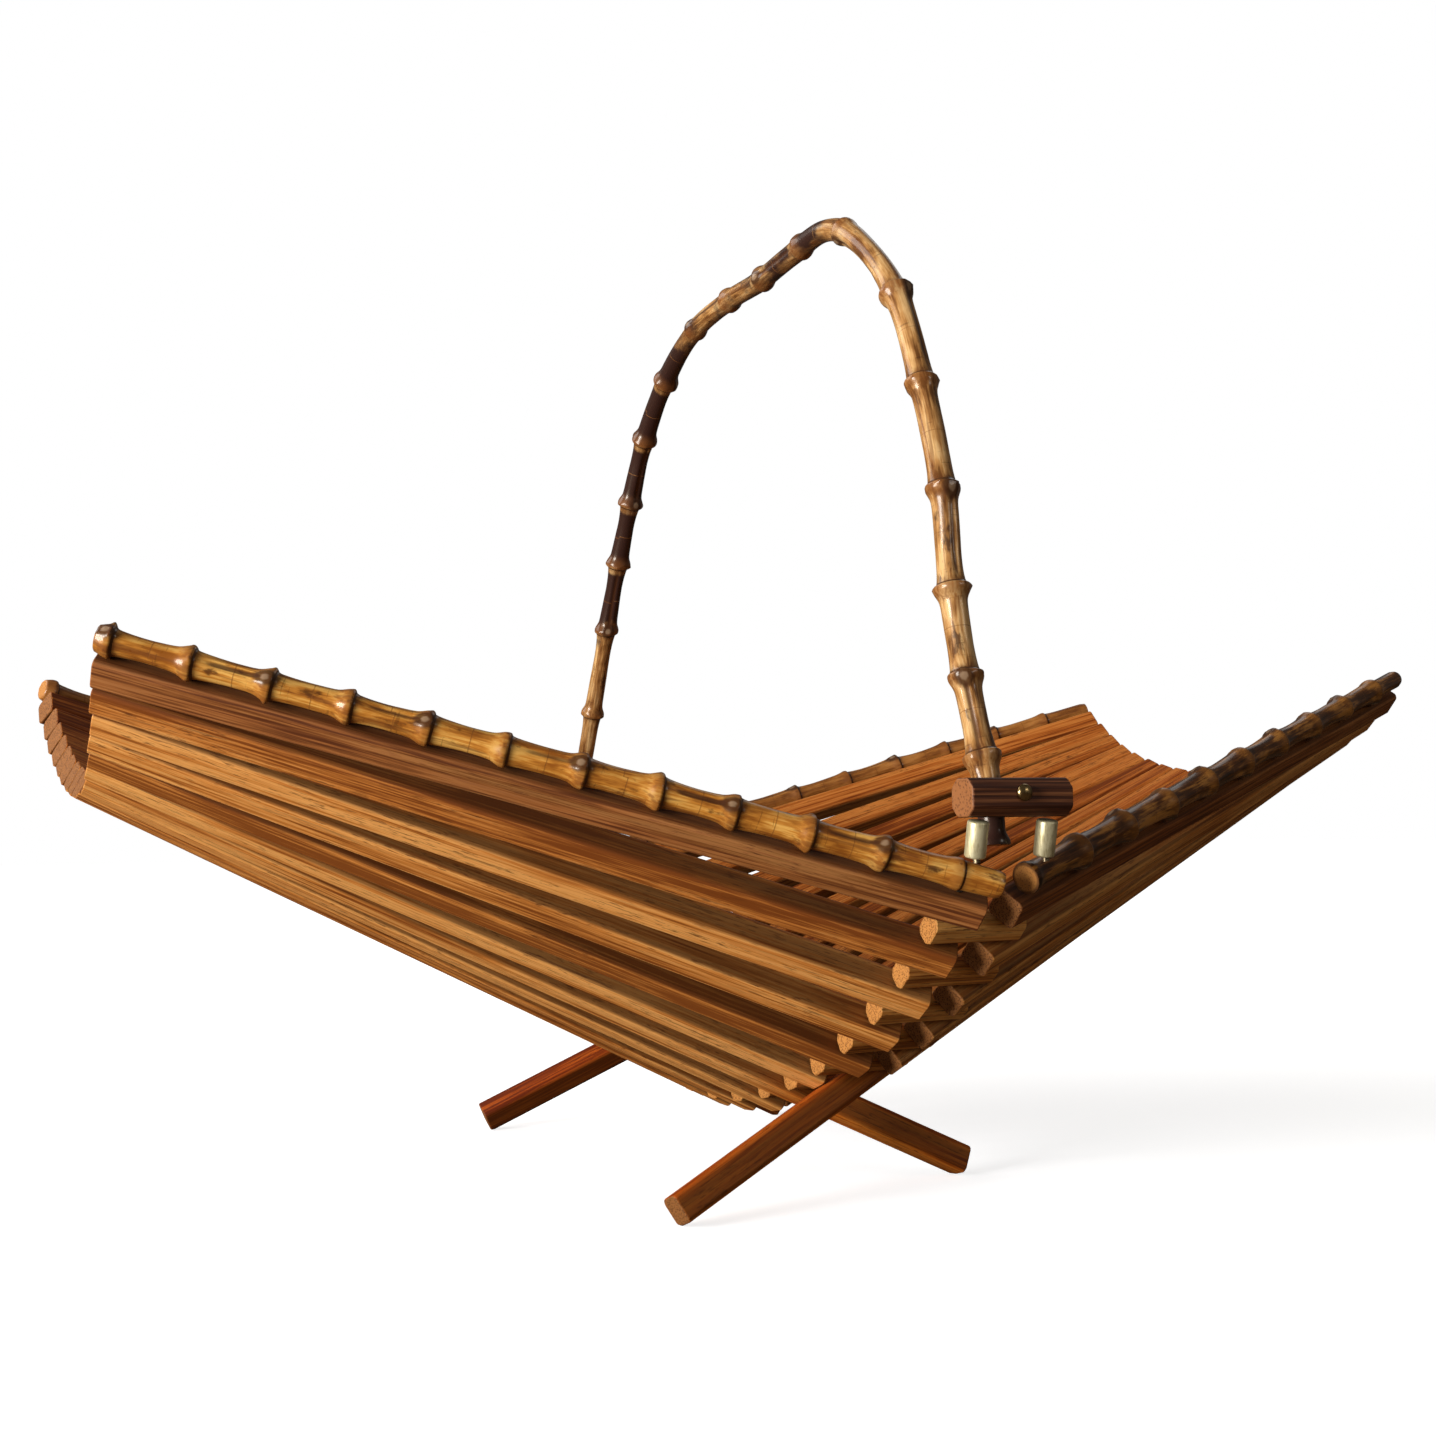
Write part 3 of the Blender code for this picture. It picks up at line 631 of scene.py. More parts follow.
def slat_tree():
    """Stands a slat on each station, turned and stretched as the station says."""
    tree = bpy.data.node_groups.new("slats_on_wires", "GeometryNodeTree")
    sockets = {"Stations": "Geometry", "Slat Shape": "Object", "Wood": "Material", "Seed": "Int"}
    names = {}
    for name, kind in sockets.items():
        made = tree.interface.new_socket(name=name, in_out="INPUT", socket_type="NodeSocket" + kind)
        names[name] = made.identifier
    tree.interface.new_socket(name="Slats", in_out="OUTPUT", socket_type="NodeSocketGeometry")

    def outputs(kind, settings=None, inputs=None):
        return add_node(tree, kind, settings, inputs).outputs

    def station_mark(name, kind):
        return outputs("GeometryNodeInputNamedAttribute", {"data_type": kind}, {"Name": name})[0]

    given = outputs("NodeGroupInput")
    length = station_mark("slat_length", "FLOAT")
    stretch = outputs("ShaderNodeCombineXYZ", None, {"X": length, "Y": 1.0, "Z": 1.0})
    source = outputs("GeometryNodeObjectInfo", None, {"Object": given["Slat Shape"]})
    points = outputs("GeometryNodeMeshToPoints", None, {"Mesh": given["Stations"]})
    chosen = outputs("FunctionNodeRandomValue", {"data_type": "FLOAT"}, {"Seed": given["Seed"]})
    seeded = outputs(
        "GeometryNodeStoreNamedAttribute", {"data_type": "FLOAT", "domain": "POINT"},
        {
            "Geometry": points[0], "Name": "slat_seed",
            "Value": next(socket for socket in chosen if socket.enabled),
        },
    )
    placed = outputs(
        "GeometryNodeInstanceOnPoints", None,
        {
            "Points": seeded[0], "Instance": source["Geometry"],
            "Rotation": station_mark("slat_turn", "FLOAT_VECTOR"), "Scale": stretch[0],
        },
    )
    solid = outputs("GeometryNodeRealizeInstances", None, {"Geometry": placed[0]})
    finished = outputs("GeometryNodeSetMaterial", None, {"Geometry": solid[0], "Material": given["Wood"]})
    outputs("NodeGroupOutput", None, {"Slats": finished[0]})
    return tree, names


def grow_slats(name, stations, shape, wood, seed):
    """Slats for a list of (frame at the inner end, length, darkness, richness, leg), as one mesh."""
    tree, names = SLAT_TREE
    mesh = bpy.data.meshes.new(name + "_stations")
    mesh.from_pydata([station[0].translation for station in stations], [], [])
    holder = put(name + "_stations", mesh)
    add_attribute(holder, "slat_turn", [tuple(station[0].to_euler()) for station in stations])
    for column, mark in enumerate(("slat_length", "slat_tone", "slat_rich", "slat_leg"), start=1):
        add_attribute(holder, mark, [station[column] for station in stations])
    modifier = holder.modifiers.new("slats", "NODES")
    modifier.node_group = tree
    for given, value in (("Slat Shape", shape), ("Wood", wood), ("Seed", seed)):
        modifier[names[given]] = value
    evaluated = holder.evaluated_get(bpy.context.evaluated_depsgraph_get())
    grown = bpy.data.meshes.new_from_object(evaluated)
    grown.name = name
    bpy.data.objects.remove(holder, do_unlink=True)
    return show(name, grown, SLAT_SMOOTH_ANGLE)


def leg_reach(level):
    """How far a leg runs past its wire, down to the floor."""
    slope, rise = slope_at(level), wing_rise(level)
    corner_drop = SLAT_WIDTH / 2 * abs(math.sin(slope))
    corner_drop += SLAT_DEPTH / 2 * math.cos(rise) * math.cos(slope)
    drop = level_frame(level).translation.z - corner_drop + FOOT_CUT
    return drop / (math.sin(rise) * math.cos(slope))


def partner_overhang(level):
    """How far the slat facing a leg runs past its wire before it would meet the leg."""
    rise = wing_rise(level)
    room = WIRE_SPACING * math.sin(rise) - SLAT_DEPTH / 2 * (1 + math.cos(2 * rise)) - CLEARANCE
    return room / math.sin(2 * rise)


def is_leg(level, side):
    return min(level, LEVEL_COUNT - 1 - level) == LEG_LEVEL[side]


def slat_overhang(level, side):
    other = "left" if side == "right" else "right"
    if is_leg(level, side):
        return leg_reach(level)
    if is_leg(level, other):
        return partner_overhang(level)
    return SLAT_OVERHANG


def node_name(level, side):
    kind = "leg_slat" if is_leg(level, side) else "slat"
    return f"{side}_{kind}_{level + 1:02d}"


def wing_slats(group, side, wood):
    chance = random.Random(10 * group + (side == "right"))
    stations = []
    for level in GROUP_LEVELS[group]:
        inner = slat_overhang(level, side)
        if inner == SLAT_OVERHANG:
            inner += chance.uniform(-1.6, 0.0) * MM
        outer = SLAT_REACH - chance.uniform(0.0, 1.0) * MM
        place = wing_frame(level, side) @ Matrix.Translation((-inner, 0, 0))
        if side == "left":
            place = place @ Matrix.Rotation(math.pi, 4, "X")
        darkness = chance.choice(SLAT_DARKNESSES) if level else NEAR_RIM_DARKNESS
        richness = chance.uniform(0.0, MOST_RICHNESS)
        leg = inner if is_leg(level, side) else NO_LEG
        stations.append((place, inner + outer, darkness, richness, leg))
    item = grow_slats(f"{side}_slats_{group + 1}", stations, WING_SLAT, wood, 5 * group + len(side))
    if any(is_leg(level, side) for level in GROUP_LEVELS[group]):
        face_outwards(item, cut_by_floor=True)
    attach(item, f"{side}_{group + 1}")
    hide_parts(*[node_name(level, side) for level in GROUP_LEVELS[group]])


def middle_slats(group, wood):
    levels = GROUP_LEVELS[group]
    if levels[-1] < MIDDLE_LEVEL:
        places = [level + 0.5 for level in levels]
    elif levels[0] > MIDDLE_LEVEL:
        places = [level - 0.5 for level in levels]
    else:
        places = [level + 0.5 for level in levels[:-1]]
    chance = random.Random(group)
    stations = []
    for place in places:
        trim = chance.uniform(0.0, 0.7) * MM
        start = level_frame(place, -MIDDLE_SLAT_LENGTH / 2 + trim)
        darkness, richness = chance.uniform(0.0, 0.10), chance.uniform(0.0, MOST_RICHNESS)
        stations.append((start, MIDDLE_SLAT_LENGTH - 2 * trim, darkness, richness, NO_LEG))
    item = grow_slats(f"middle_pieces_{group + 1}", stations, MIDDLE_SLAT, wood, 40 + group)
    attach(item, f"middle_{group + 1}")
    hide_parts(f"middle_slats_{group + 1}")


def round_bar(name, points, radius, around, finish):
    """Round bar along points, whose frames are carried along without twist."""
    rows = []
    side = (points[1] - points[0]).normalized().orthogonal().normalized()
    for place, point in enumerate(points):
        before = points[max(place - 1, 0)]
        after = points[min(place + 1, len(points) - 1)]
        direction = (after - before).normalized()
        side = (side - direction * side.dot(direction)).normalized()
        up = direction.cross(side)
        for step in range(around):
            turn = math.tau * step / around
            rows.append(point + (side * math.cos(turn) + up * math.sin(turn)) * radius)
    return new_piece(name, rows, tube_faces(len(points), around), finish)


def wires(group, metal):
    """The stretch of both wires between a group's slats."""
    levels = GROUP_LEVELS[group]
    half_slat = (SLAT_WIDTH / 2 + CLEARANCE) / LEVEL_PITCH
    first, last = levels[0] - half_slat, levels[-1] + half_slat
    if levels[-1] < MIDDLE_LEVEL:
        last = levels[-1] + 0.5
    if levels[0] > MIDDLE_LEVEL:
        first = levels[0] - 0.5
    for side, sign in SIDE_SIGN.items():
        steps = 4 * len(levels)
        points = [
            level_frame(first + (last - first) * step / steps, sign * HALF_SPACING).translation
            for step in range(steps + 1)
        ]
        item = round_bar(f"wire_{side}_{group + 1}", points, WIRE_RADIUS, 12, metal)
        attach(item, f"middle_{group + 1}")


# Cane.

def smooth_step(values, low, high):
    share = np.clip((values - low) / (high - low), 0, 1)
    return share * share * (3 - 2 * share)


def hump(distance, width):
    """1 where the distance is 0, and almost nothing two widths away."""
    return np.exp(-(distance / width) ** 2)


def turn_from(turn, middle):
    """Turn measured from middle, at most half a turn either way."""
    return (turn - middle + math.pi) % math.tau - math.pi


class Cane:
    """Shape of a root cane along its length: waisted stretches, ringed joints, buds and nubs.

    At each joint the cane swells on its growing side and falls away sharply on the other.
    Joints stay lower, by a share, in the calm place: (from, to, share), of the length.
    """

    def __init__(
        self, seed, length, nodes, waist, node_radius, taper_share, growth, bud_turn,
        twist=0.0, bulge_share=0.66, nub_share=1.0, calm_place=(0.0, 0.0, 1.0),
    ):
        self.length, self.nodes, self.growth = length, nodes, growth
        self.waist, self.node_radius = waist, node_radius
        self.taper_share, self.bulge_share = taper_share, bulge_share
        chance = random.Random(seed)
        self.wave_turn = chance.uniform(0, math.tau)
        calm_from, calm_to, calm_share = calm_place
        calm = {place: calm_share if calm_from <= place / length <= calm_to else 1.0 for place in nodes}
        self.joints = [
            {
                "place": place,
                "tilt": chance.uniform(0.1, 0.5) * MM,
                "tilt_turn": chance.uniform(0, math.tau),
                "swell": chance.uniform(0.86, 1.08) * calm[place],
                "relief": calm[place] ** 3,
                "bud_turn": bud_turn + (math.pi + twist) * number + chance.uniform(-0.15, 0.15),
                "groove": chance.uniform(0.6, 1.0),
                "nubs": [
                    (
                        chance.uniform(0, math.tau), chance.uniform(0.6, 1.7) * MM,
                        chance.uniform(0.20, 0.60) * nub_share * calm[place] ** 3 * MM,
                    )
                    for _ in range(6)
                ],
            }
            for number, place in enumerate(nodes)
        ]

    def stations(self):
        """Distances along the cane, closer together at the joints."""
        places = set(np.arange(0, self.length, 1.4 * MM).round(6))
        for node in self.nodes:
            near = node + self.growth * np.arange(-2.0, 6.0, 0.33) * MM
            places |= {place for place in near.round(6) if 0 < place < self.length}
        kept = [0.0]
        for place in sorted(places):
            if place - kept[-1] > 0.2 * MM:
                kept.append(place)
        kept[-1] = self.length
        return np.array(kept)

    def surface(self, stations, around):
        """Radius and marks at each station and step around."""
        turns = np.linspace(0, math.tau, around, endpoint=False)
        s, turn = np.meshgrid(stations, turns, indexing="ij")
        taper = 1 - (1 - self.taper_share) * s / self.length
        relief = WAVE_HEIGHT * np.sin(2 * turn + s * WAVE_RATE + self.wave_turn)
        swelling, groove = np.zeros(s.shape), np.zeros(s.shape)
        nearest, to_bud, to_nub = (np.full(s.shape, FAR_OFF) for _ in range(3))
        stretch = self.length / len(self.nodes)
        height = self.node_radius - self.waist
        for joint in self.joints:
            tilt = joint["tilt"] * np.cos(turn - joint["tilt_turn"])
            past = self.growth * (s - joint["place"] - tilt)
            bulge = self.bulge_share * hump(np.maximum(past - BULGE_FROM, 0), BULGE_LENGTH)
            fall = (np.maximum(past, 0) / (FLARE_LENGTH_SHARE * stretch)) ** 1.3
            flare = (1 - self.bulge_share) * np.exp(-fall)
            shoulder = SHOULDER_SHARE * np.exp(np.minimum(past, 0) / SHOULDER_LENGTH)
            step = smooth_step(past, *STEP_ENDS)
            profile = (shoulder * (1 - step) + (bulge + flare) * step) * joint["swell"]
            swelling = np.maximum(swelling, profile)
            relief -= RING_DEPTH_SHARE * height * hump(past - RING_PLACE, RING_WIDTH)
            nearest = np.where(np.abs(past) < np.abs(nearest), past, nearest)
            sideways = turn_from(turn, joint["bud_turn"]) * self.waist
            bud = np.hypot((past - BUD_PLACE) / BUD_STRETCH, sideways)
            to_bud = np.minimum(to_bud, bud)
            for ridge_place, ridge_width, ridge_height in BUD_RIDGES:
                relief += ridge_height * joint["relief"] * hump(bud - ridge_place, ridge_width)
            reach = smooth_step(past, 3 * MM, 6 * MM) * (1 - smooth_step(past, 0.70 * stretch, stretch))
            trough = hump(sideways, GROOVE_WIDTH) * reach * joint["groove"]
            lips = hump(np.abs(sideways) - LIP_PLACE, LIP_WIDTH) * reach
            relief += LIP_HEIGHT * lips - GROOVE_DEPTH * trough
            groove = np.maximum(groove, trough)
            for nub_turn, nub_place, nub_height in joint["nubs"]:
                nub = np.hypot(past - nub_place, turn_from(turn, nub_turn) * self.node_radius)
                to_nub = np.minimum(to_nub, nub)
                relief += nub_height * hump(nub, NUB_RADIUS)
        radius = (self.waist + height * swelling) * taper + relief
        return radius, turn, nearest, to_bud, to_nub, groove


def cane_piece(name, cane, spine, finish, around, scorch_shares, flares):
    """Cane mesh along a spine, a function from distance to a point and two side directions.

    Flares are (place, height) pairs, at which the cane widens.
    """
    stations = cane.stations()
    radius, turn, nearest, to_bud, to_nub, groove = cane.surface(stations, around)
    vertices, places = [], []
    for row, place in enumerate(stations):
        for flare_place, flare_height in flares:
            radius[row] += flare_height * hump(place - flare_place, END_FLARE_LENGTH)
        to_end = min(place, cane.length - place)
        if to_end < END_ROUNDING:
            drop = 1 - math.sqrt(1 - (1 - to_end / END_ROUNDING) ** 2)
            radius[row] -= END_ROUNDING * END_ROUNDING_SHARE * drop
        point, side, up = (np.array(part) for part in spine(place))
        aside, above = radius[row] * np.cos(turn[row]), radius[row] * np.sin(turn[row])
        vertices += list(point + aside[:, None] * side + above[:, None] * up)
        places += list(np.stack([np.full(around, place), aside, above], 1))
    count = len(vertices)
    faces = tube_faces(len(stations), around)[:-2]
    afters = [(step + 1) % around for step in range(around)]
    for end_row in (0, len(stations) - 1):
        ring = range(end_row * around, (end_row + 1) * around)
        point = np.array(spine(stations[end_row])[0])
        rim, centre = len(vertices), len(vertices) + around
        vertices += [point + (vertices[index] - point) * CUT_RIM_SHARE for index in ring]
        places += [places[index] * (1, CUT_RIM_SHARE, CUT_RIM_SHARE) for index in ring]
        vertices.append(point)
        places.append((stations[end_row], 0.0, 0.0))
        cap = [(ring[step], ring[after], rim + after, rim + step) for step, after in enumerate(afters)]
        cap += [(rim + step, rim + after, centre) for step, after in enumerate(afters)]
        faces += [face[::-1] for face in cap] if end_row == 0 else cap
    item = new_piece(name, vertices, faces, finish, CANE_SMOOTH_ANGLE)
    add_attribute(item, "cane_place", places)
    scorch = np.interp(np.repeat(stations / cane.length, around), *zip(*scorch_shares))
    marks = {
        "cane_node": (nearest, FAR_OFF), "cane_bud": (to_bud, FAR_OFF), "cane_nub": (to_nub, FAR_OFF),
        "cane_groove": (groove, 0.0), "cane_scorch": (scorch, 0.0), "cane_cut": (np.zeros(count), 1.0),
    }
    for mark, (values, on_cut) in marks.items():
        add_attribute(item, mark, np.append(values, np.full(len(vertices) - count, on_cut)))
    face_outwards(item)
    return item


def rail(end, side, finish, seed, scorch_shares):
    """Root cane along a wing's outer slat, whose first joint stays low beside the brass tube."""
    level, outward = 0 if end == "near" else LEVEL_COUNT - 1, OUTWARD[end]
    overhang, pitch = RAIL_OVERHANG[side], RAIL_NODE_PITCH[side]
    length = overhang + SLAT_REACH
    first_node = overhang + RAIL_FIRST_NODE[side]
    count = math.ceil((length - RAIL_END_ROOM - first_node) / pitch)
    nodes = [first_node + pitch * number for number in range(count)]
    cane = Cane(
        seed, length, nodes, RAIL_RADIUS - RAIL_RELIEF, RAIL_NODE_RADIUS + RAIL_RELIEF,
        RAIL_TAPER_SHARE, RAIL_GROWTH[side], RAIL_BUD_TURN[side], 0.0, RAIL_BULGE_SHARE[side],
        RAIL_NUB_SHARE[side], (0.0, (overhang + BESIDE_TUBE_LENGTH) / length, BESIDE_TUBE_SHARE),
    )
    place_frame = wing_frame(level, side)
    across = place_frame.to_3x3() @ Vector((0, outward, 0))
    up = place_frame.to_3x3() @ Vector((0, 0, 1))

    def spine(place):
        node_radius = RAIL_NODE_RADIUS * (1 - (1 - RAIL_TAPER_SHARE) * place / length)
        seat = SLAT_WIDTH / 2 + CLEARANCE + node_radius
        return place_frame @ Vector((place - overhang, outward * seat, 0)), across, up

    item = cane_piece(f"cane_rail_{end}_{side}", cane, spine, finish, 32, scorch_shares, RAIL_FLARES[side])
    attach(item, f"{side}_{1 if end == 'near' else 7}")
    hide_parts(f"rail_{end}_{side}")


def smooth_through(points, steps):
    """Points along a smooth curve through the given ones."""
    padded = [2 * points[0] - points[1], *points, 2 * points[-1] - points[-2]]
    smooth = []
    for before, start, end, after in zip(padded, padded[1:], padded[2:], padded[3:]):
        for step in range(steps):
            t = step / steps
            bend = (2 * before - 5 * start + 4 * end - after) * t * t
            turn = (3 * start - before - 3 * end + after) * t * t * t
            smooth.append((2 * start + (end - before) * t + bend + turn) / 2)
    return [*smooth, points[-1]]


def handle(finish):
    """The handle is one cane, arched over the crown, in place of both halves."""
    block_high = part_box("foot_block_near")[1]
    half_low, half_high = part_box("handle_near_half")
    half_span = -(block_high.y + HANDLE_PLAY + HANDLE_FOOT_RADIUS)
    corners = [
        Vector((0, across * half_span, half_low.z + up * HANDLE_RISE)) for across, up in HANDLE_ARCH_SHARES
    ]
    arch = smooth_through(corners, 12)
    steps = [0.0]
    for start, end in zip(arch, arch[1:]):
        steps.append(steps[-1] + (end - start).length)
    length = steps[-1]
    ys, zs = [point.y for point in arch], [point.z for point in arch]

    def at(place):
        return Vector((0, np.interp(place, steps, ys), np.interp(place, steps, zs)))

    def spine(place):
        before, after = at(max(place - 2 * MM, 0)), at(min(place + 2 * MM, length))
        direction = (after - before).normalized()
        side = Vector((1, 0, 0))
        return at(place), side, direction.cross(side)

    nodes = [share * length for share in HANDLE_NODE_SHARES]
    cane = Cane(
        HANDLE_SEED, length, nodes, HANDLE_RADIUS - HANDLE_WAIST_RELIEF,
        HANDLE_NODE_RADIUS + HANDLE_NODE_RELIEF, HANDLE_TAPER_SHARE, -1, HANDLE_BUD_TURN,
        HANDLE_BUD_TWIST, calm_place=HANDLE_CROWN_CALM,
    )
    flares = [(place, HANDLE_END_FLARE) for place in (0.0, length)]
    item = cane_piece("cane_handle", cane, spine, finish, 36, HANDLE_SCORCH_SHARES, flares)
    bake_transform(item)
    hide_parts("handle_near_half", "handle_far_half")


# Handle feet.

def foot_block(end, finish):
    """Block with softened edges; its ends show the sawn grain."""
    low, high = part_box(f"foot_block_{end}")
    centre, size = (low + high) / 2, high - low
    outline = slat_outline(size.y, size.z, BLOCK_CHAMFER, BLOCK_CORNER)
    rings = softened_rings(low.x, high.x, BLOCK_END_EDGE, BLOCK_END_SCALES, (0.25, 0.5, 0.75))
    vertices = [
        (along, centre.y + place.x * scale, centre.z + place.y * scale)
        for along, scale in rings for place in outline
    ]
    faces = tube_faces(len(rings), len(outline))
    item = new_piece(f"stained_block_{end}", vertices, faces, finish, SLAT_SMOOTH_ANGLE)
    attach(item, f"foot_{end}")
    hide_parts(f"foot_block_{end}")


def turned(name, profile, around, place, finish):
    """Solid turned about its frame's Z from (radius, height) pairs, bottom first."""
    vertices, rings = [], []
    for radius, height in profile:
        corners = around if radius else 1
        rings.append(range(len(vertices), len(vertices) + corners))
        for step in range(corners):
            turn = math.tau * step / around
            vertices.append(place @ Vector((radius * math.cos(turn), radius * math.sin(turn), height)))
    faces = []
    for low, high in zip(rings, rings[1:]):
        for step in range(around):
            after = (step + 1) % around
            below = (low[step % len(low)], low[after % len(low)])
            above = (high[after % len(high)], high[step % len(high)])
            faces.append(tuple(dict.fromkeys((*below, *above))))
    item = new_piece(name, vertices, faces, finish, TURNED_SMOOTH_ANGLE)
    face_outwards(item)
    return item


def brass_tube(end, side, finish, metal):
    """Brass tube with a thin wall, and the wire that hooks up into it."""
    low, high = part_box(f"brass_tube_{end}_{side}")
    outward = OUTWARD[end]
    lean = Matrix.Rotation(-outward * TUBE_LEAN, 4, "X")
    place = Matrix.Translation((low + high) / 2) @ lean
    half = TUBE_LENGTH / 2
    bore = TUBE_RADIUS - TUBE_WALL
    rounded = [
        (TUBE_RADIUS - TUBE_EDGE * (1 - math.cos(turn)), half - TUBE_EDGE * (1 - math.sin(turn)))
        for turn in (0.0, math.pi / 6, math.pi / 3, math.pi / 2)
    ]
    profile = [
        (0, -half + TUBE_HOLLOW), (bore, -half + TUBE_HOLLOW), (bore, -half),
        *[(radius, -height) for radius, height in reversed(rounded)], *rounded, (0, half),
    ]
    item = turned(f"sleeve_{end}_{side}", profile, 40, place, finish)
    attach(item, f"foot_{end}")
    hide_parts(f"brass_tube_{end}_{side}")
    hook = [place @ Vector((0, outward * out, -half + up)) for out, up in HOOK_STEPS]
    bead = round_bar(f"wire_hook_{end}_{side}", smooth_through(hook, 4), WIRE_RADIUS, 14, metal)
    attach(bead, f"foot_{end}")


def nail(end, finish):
    """Nail with a domed head, driven in from outside."""
    low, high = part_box(f"nail_{end}")
    outer = low.y if end == "near" else high.y
    driven = Matrix.Rotation(-OUTWARD[end] * math.pi / 2, 4, "X")
    place = Matrix.Translation((0, outer, (low.z + high.z) / 2)) @ driven
    depth = high.y - low.y
    profile = [(0, 0)]
    for step in range(1, NAIL_DOME_STEPS + 1):
        turn = math.pi / 2 * step / NAIL_DOME_STEPS
        profile.append((NAIL_HEAD_RADIUS * math.sin(turn), -NAIL_HEAD_HEIGHT * (1 - math.cos(turn))))
    profile += [
        (NAIL_HEAD_RADIUS - NAIL_HEAD_EDGE, -NAIL_HEAD_HEIGHT), (NAIL_RADIUS, -NAIL_HEAD_HEIGHT),
        (NAIL_RADIUS, -depth), (0, -depth),
    ]
    item = turned(f"dome_nail_{end}", profile, 32, place, finish)
    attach(item, "nail_near" if end == "near" else "foot_far")
    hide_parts(f"nail_{end}")


# Camera, light and floor.

CAMERA_PLACE = (-0.3345, -0.6870, 0.1465)
CAMERA_YAW = math.radians(-25.42)
CAMERA_PITCH = math.radians(3.27)
CAMERA_ROLL = math.radians(-0.69)
CAMERA_LENS = 43.36
FLOOR_SIZE = 12
FLOOR_HEIGHT = -0.0005

# Name, place, what it points at, size and power.
LIGHTS = (
    ("window_light", (-2.1, -0.50, 0.34), (0, 0, 0.14), 1.0, 80),
    ("front_light", (0.9, -1.8, 0.9), (0, 0, 0.15), 0.5, 3),
    ("back_light", (-1.2, 1.0, 1.3), (0, 0, 0.1), 1.2, 12),
    ("edge_light", (1.1, 0.8, 1.5), (0, 0, 0.15), 0.8, 1.7),
)


def photo_camera():
    """Camera at the photograph's angle, from below the handle's height, looking slightly up."""
    data = bpy.data.cameras.new("photo_camera")
    data.sensor_width = 36
    data.lens = CAMERA_LENS
    data.clip_start = 0.01
    camera = put("photo_camera", data)
    yawed = Matrix.Rotation(CAMERA_YAW, 4, "Z")
    raised = Matrix.Rotation(math.pi / 2 + CAMERA_PITCH, 4, "X")
    rolled = Matrix.Rotation(CAMERA_ROLL, 4, "Z")
    camera.matrix_world = Matrix.Translation(CAMERA_PLACE) @ yawed @ raised @ rolled
    bpy.context.scene.camera = camera


def soft_light(name, place, target, size, power):
    data = bpy.data.lights.new(name, "AREA")
    data.shape = "DISK"
    data.size = size
    data.energy = power
    direction = Vector(target) - Vector(place)
    turn = direction.to_track_quat("-Z", "Y").to_matrix().to_4x4()
    put(name, data).matrix_world = Matrix.Translation(place) @ turn


def surroundings():
    """Dim and warm for the basket, and plain white for the camera."""
    world = bpy.data.worlds.new("studio")
    bpy.context.scene.world = world
    world.use_nodes = True
    tree = world.node_tree
    tree.nodes.remove(tree.nodes["Background"])
    path = add_node(tree, "ShaderNodeLightPath").outputs

    def mixed(kind, inputs):
        return add_node(tree, "ShaderNode" + kind, None, inputs).outputs[0]

    def glow(strength, *tint):
        return mixed("Background", {"Color": colour(*tint), "Strength": strength})

    def by_ray(ray, others, its_own):
        return mixed("MixShader", {0: path[ray], 1: others, 2: its_own})

    dim = by_ray("Is Glossy Ray", glow(0.15, 1.0, 0.93, 0.84), glow(0.10, 1.0, 0.92, 0.82))
    seen = by_ray("Is Camera Ray", dim, glow(1.0, 1.0, 1.0, 1.0))
    feed(tree, tree.nodes["World Output"].inputs["Surface"], seen)


def white_floor(finish):
    half = FLOOR_SIZE / 2
    rim = ((-half, -half), (half, -half), (half, half), (-half, half))
    corners = [(x, y, FLOOR_HEIGHT) for x, y in rim]
    floor = new_piece("floor", corners, [(0, 1, 2, 3)], finish)


# The whole basket.

SLAT_TREE = slat_tree()
WING_SLAT = slat_shape("wing_slat_shape", SLAT_WIDTH, SLAT_DEPTH, SLAT_CHAMFER, SLAT_REACH)
MIDDLE_SLAT = slat_shape(
    "middle_slat_shape", MIDDLE_SLAT_WIDTH, MIDDLE_SLAT_DEPTH, MIDDLE_SLAT_CHAMFER, MIDDLE_SLAT_LENGTH
)
slat_finish = slat_wood(
    "slat_wood", shades=((0.22, 0.060, 0.009), (0.57, 0.205, 0.038), (0.80, 0.38, 0.105)),
    sawn_shades=((0.06, 0.018, 0.005), (0.25, 0.098, 0.028)), width=SLAT_WIDTH, side_dye_and_shade=1.0,
)
middle_finish = slat_wood(
    "middle_slat_wood", shades=((0.26, 0.080, 0.014), (0.60, 0.23, 0.045), (0.80, 0.40, 0.110)),
    sawn_shades=((0.12, 0.040, 0.010), (0.46, 0.190, 0.046)), width=MIDDLE_SLAT_WIDTH, side_dye_and_shade=0.15,
)
light_cane = cane_skin(
    "rail_cane_honey", (0.27, 0.082, 0.010), (0.54, 0.21, 0.030), (0.76, 0.41, 0.095),
    scorched=(0.060, 0.018, 0.005), swollen=(0.25, 0.085, 0.017), gloss=0.20, spots=0.85,
)
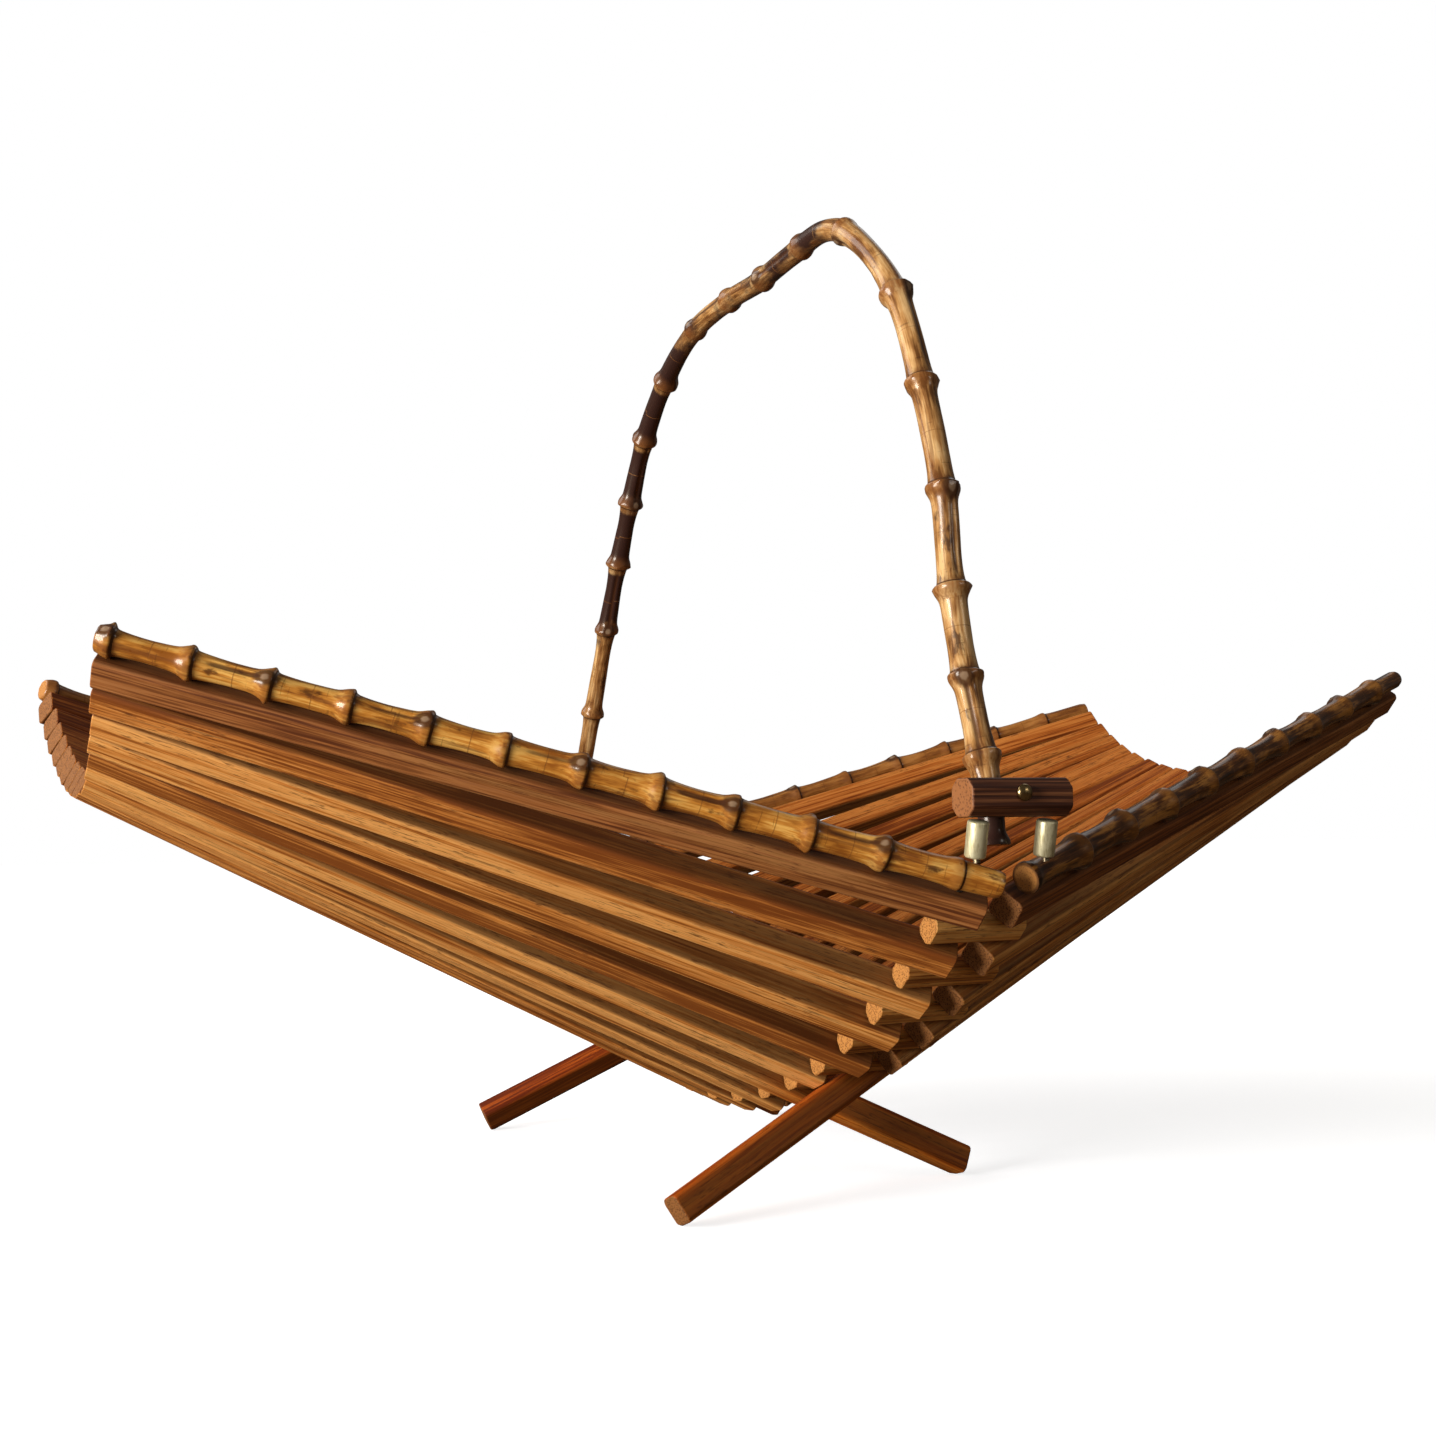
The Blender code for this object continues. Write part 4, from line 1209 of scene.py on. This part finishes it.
# Its swollen colour is lighter than its skin: it paints golden glints on the joints' flares, as well as
# their tone.
dark_cane = cane_skin(
    "rail_cane_dark", (0.034, 0.010, 0.0025), (0.110, 0.034, 0.006), (0.46, 0.19, 0.036),
    scorched=(0.014, 0.004, 0.0015), swollen=(0.26, 0.098, 0.018), gloss=0.20, spots=0.20,
)
brown_cane = cane_skin(
    "rail_cane_brown", (0.17, 0.052, 0.010), (0.32, 0.115, 0.022), (0.44, 0.18, 0.042),
    scorched=(0.050, 0.017, 0.006), swollen=(0.24, 0.080, 0.018), gloss=0.30, spots=0.20,
)
handle_finish = cane_skin(
    "handle_cane", (0.13, 0.048, 0.012), (0.42, 0.20, 0.060), (0.66, 0.40, 0.165),
    scorched=(0.034, 0.014, 0.010), swollen=(0.22, 0.075, 0.018), gloss=0.18, spots=0.80,
)
block_finish = block_wood()
tube_finish = satin_brass("tube_brass", (0.76, 0.68, 0.42), (0.50, 0.42, 0.22), gloss=0.30, metallic=0.55)
nail_finish = satin_brass("nail_brass", (0.38, 0.26, 0.11), (0.16, 0.10, 0.04), gloss=0.16, metallic=1.0)
wire_finish = wire_metal()

for group in range(len(GROUP_LEVELS)):
    for side in SIDE_SIGN:
        wing_slats(group, side, slat_finish)
    middle_slats(group, middle_finish)
    wires(group, wire_finish)

plain = ((0.0, 0.0), (1.0, 0.0))
rail("near", "left", light_cane, 1, ((0.0, 0.35), (0.12, 0.2), (0.3, 0.0), (0.93, 0.0), (1.0, 0.5)))
rail("near", "right", dark_cane, 2, ((0.0, 0.5), (0.2, 0.1), (1.0, 0.3)))
rail("far", "left", brown_cane, 3, plain)
rail("far", "right", brown_cane, 4, plain)
handle(handle_finish)
for end in ("near", "far"):
    foot_block(end, block_finish)
    nail(end, nail_finish)
    for side in SIDE_SIGN:
        brass_tube(end, side, tube_finish, wire_finish)

for shape in (WING_SLAT, MIDDLE_SLAT):
    bpy.data.objects.remove(shape, do_unlink=True)

photo_camera()
surroundings()
white_floor(floor_paint())
for light in LIGHTS:
    soft_light(*light)
bpy.context.scene.view_settings.view_transform = "Standard"
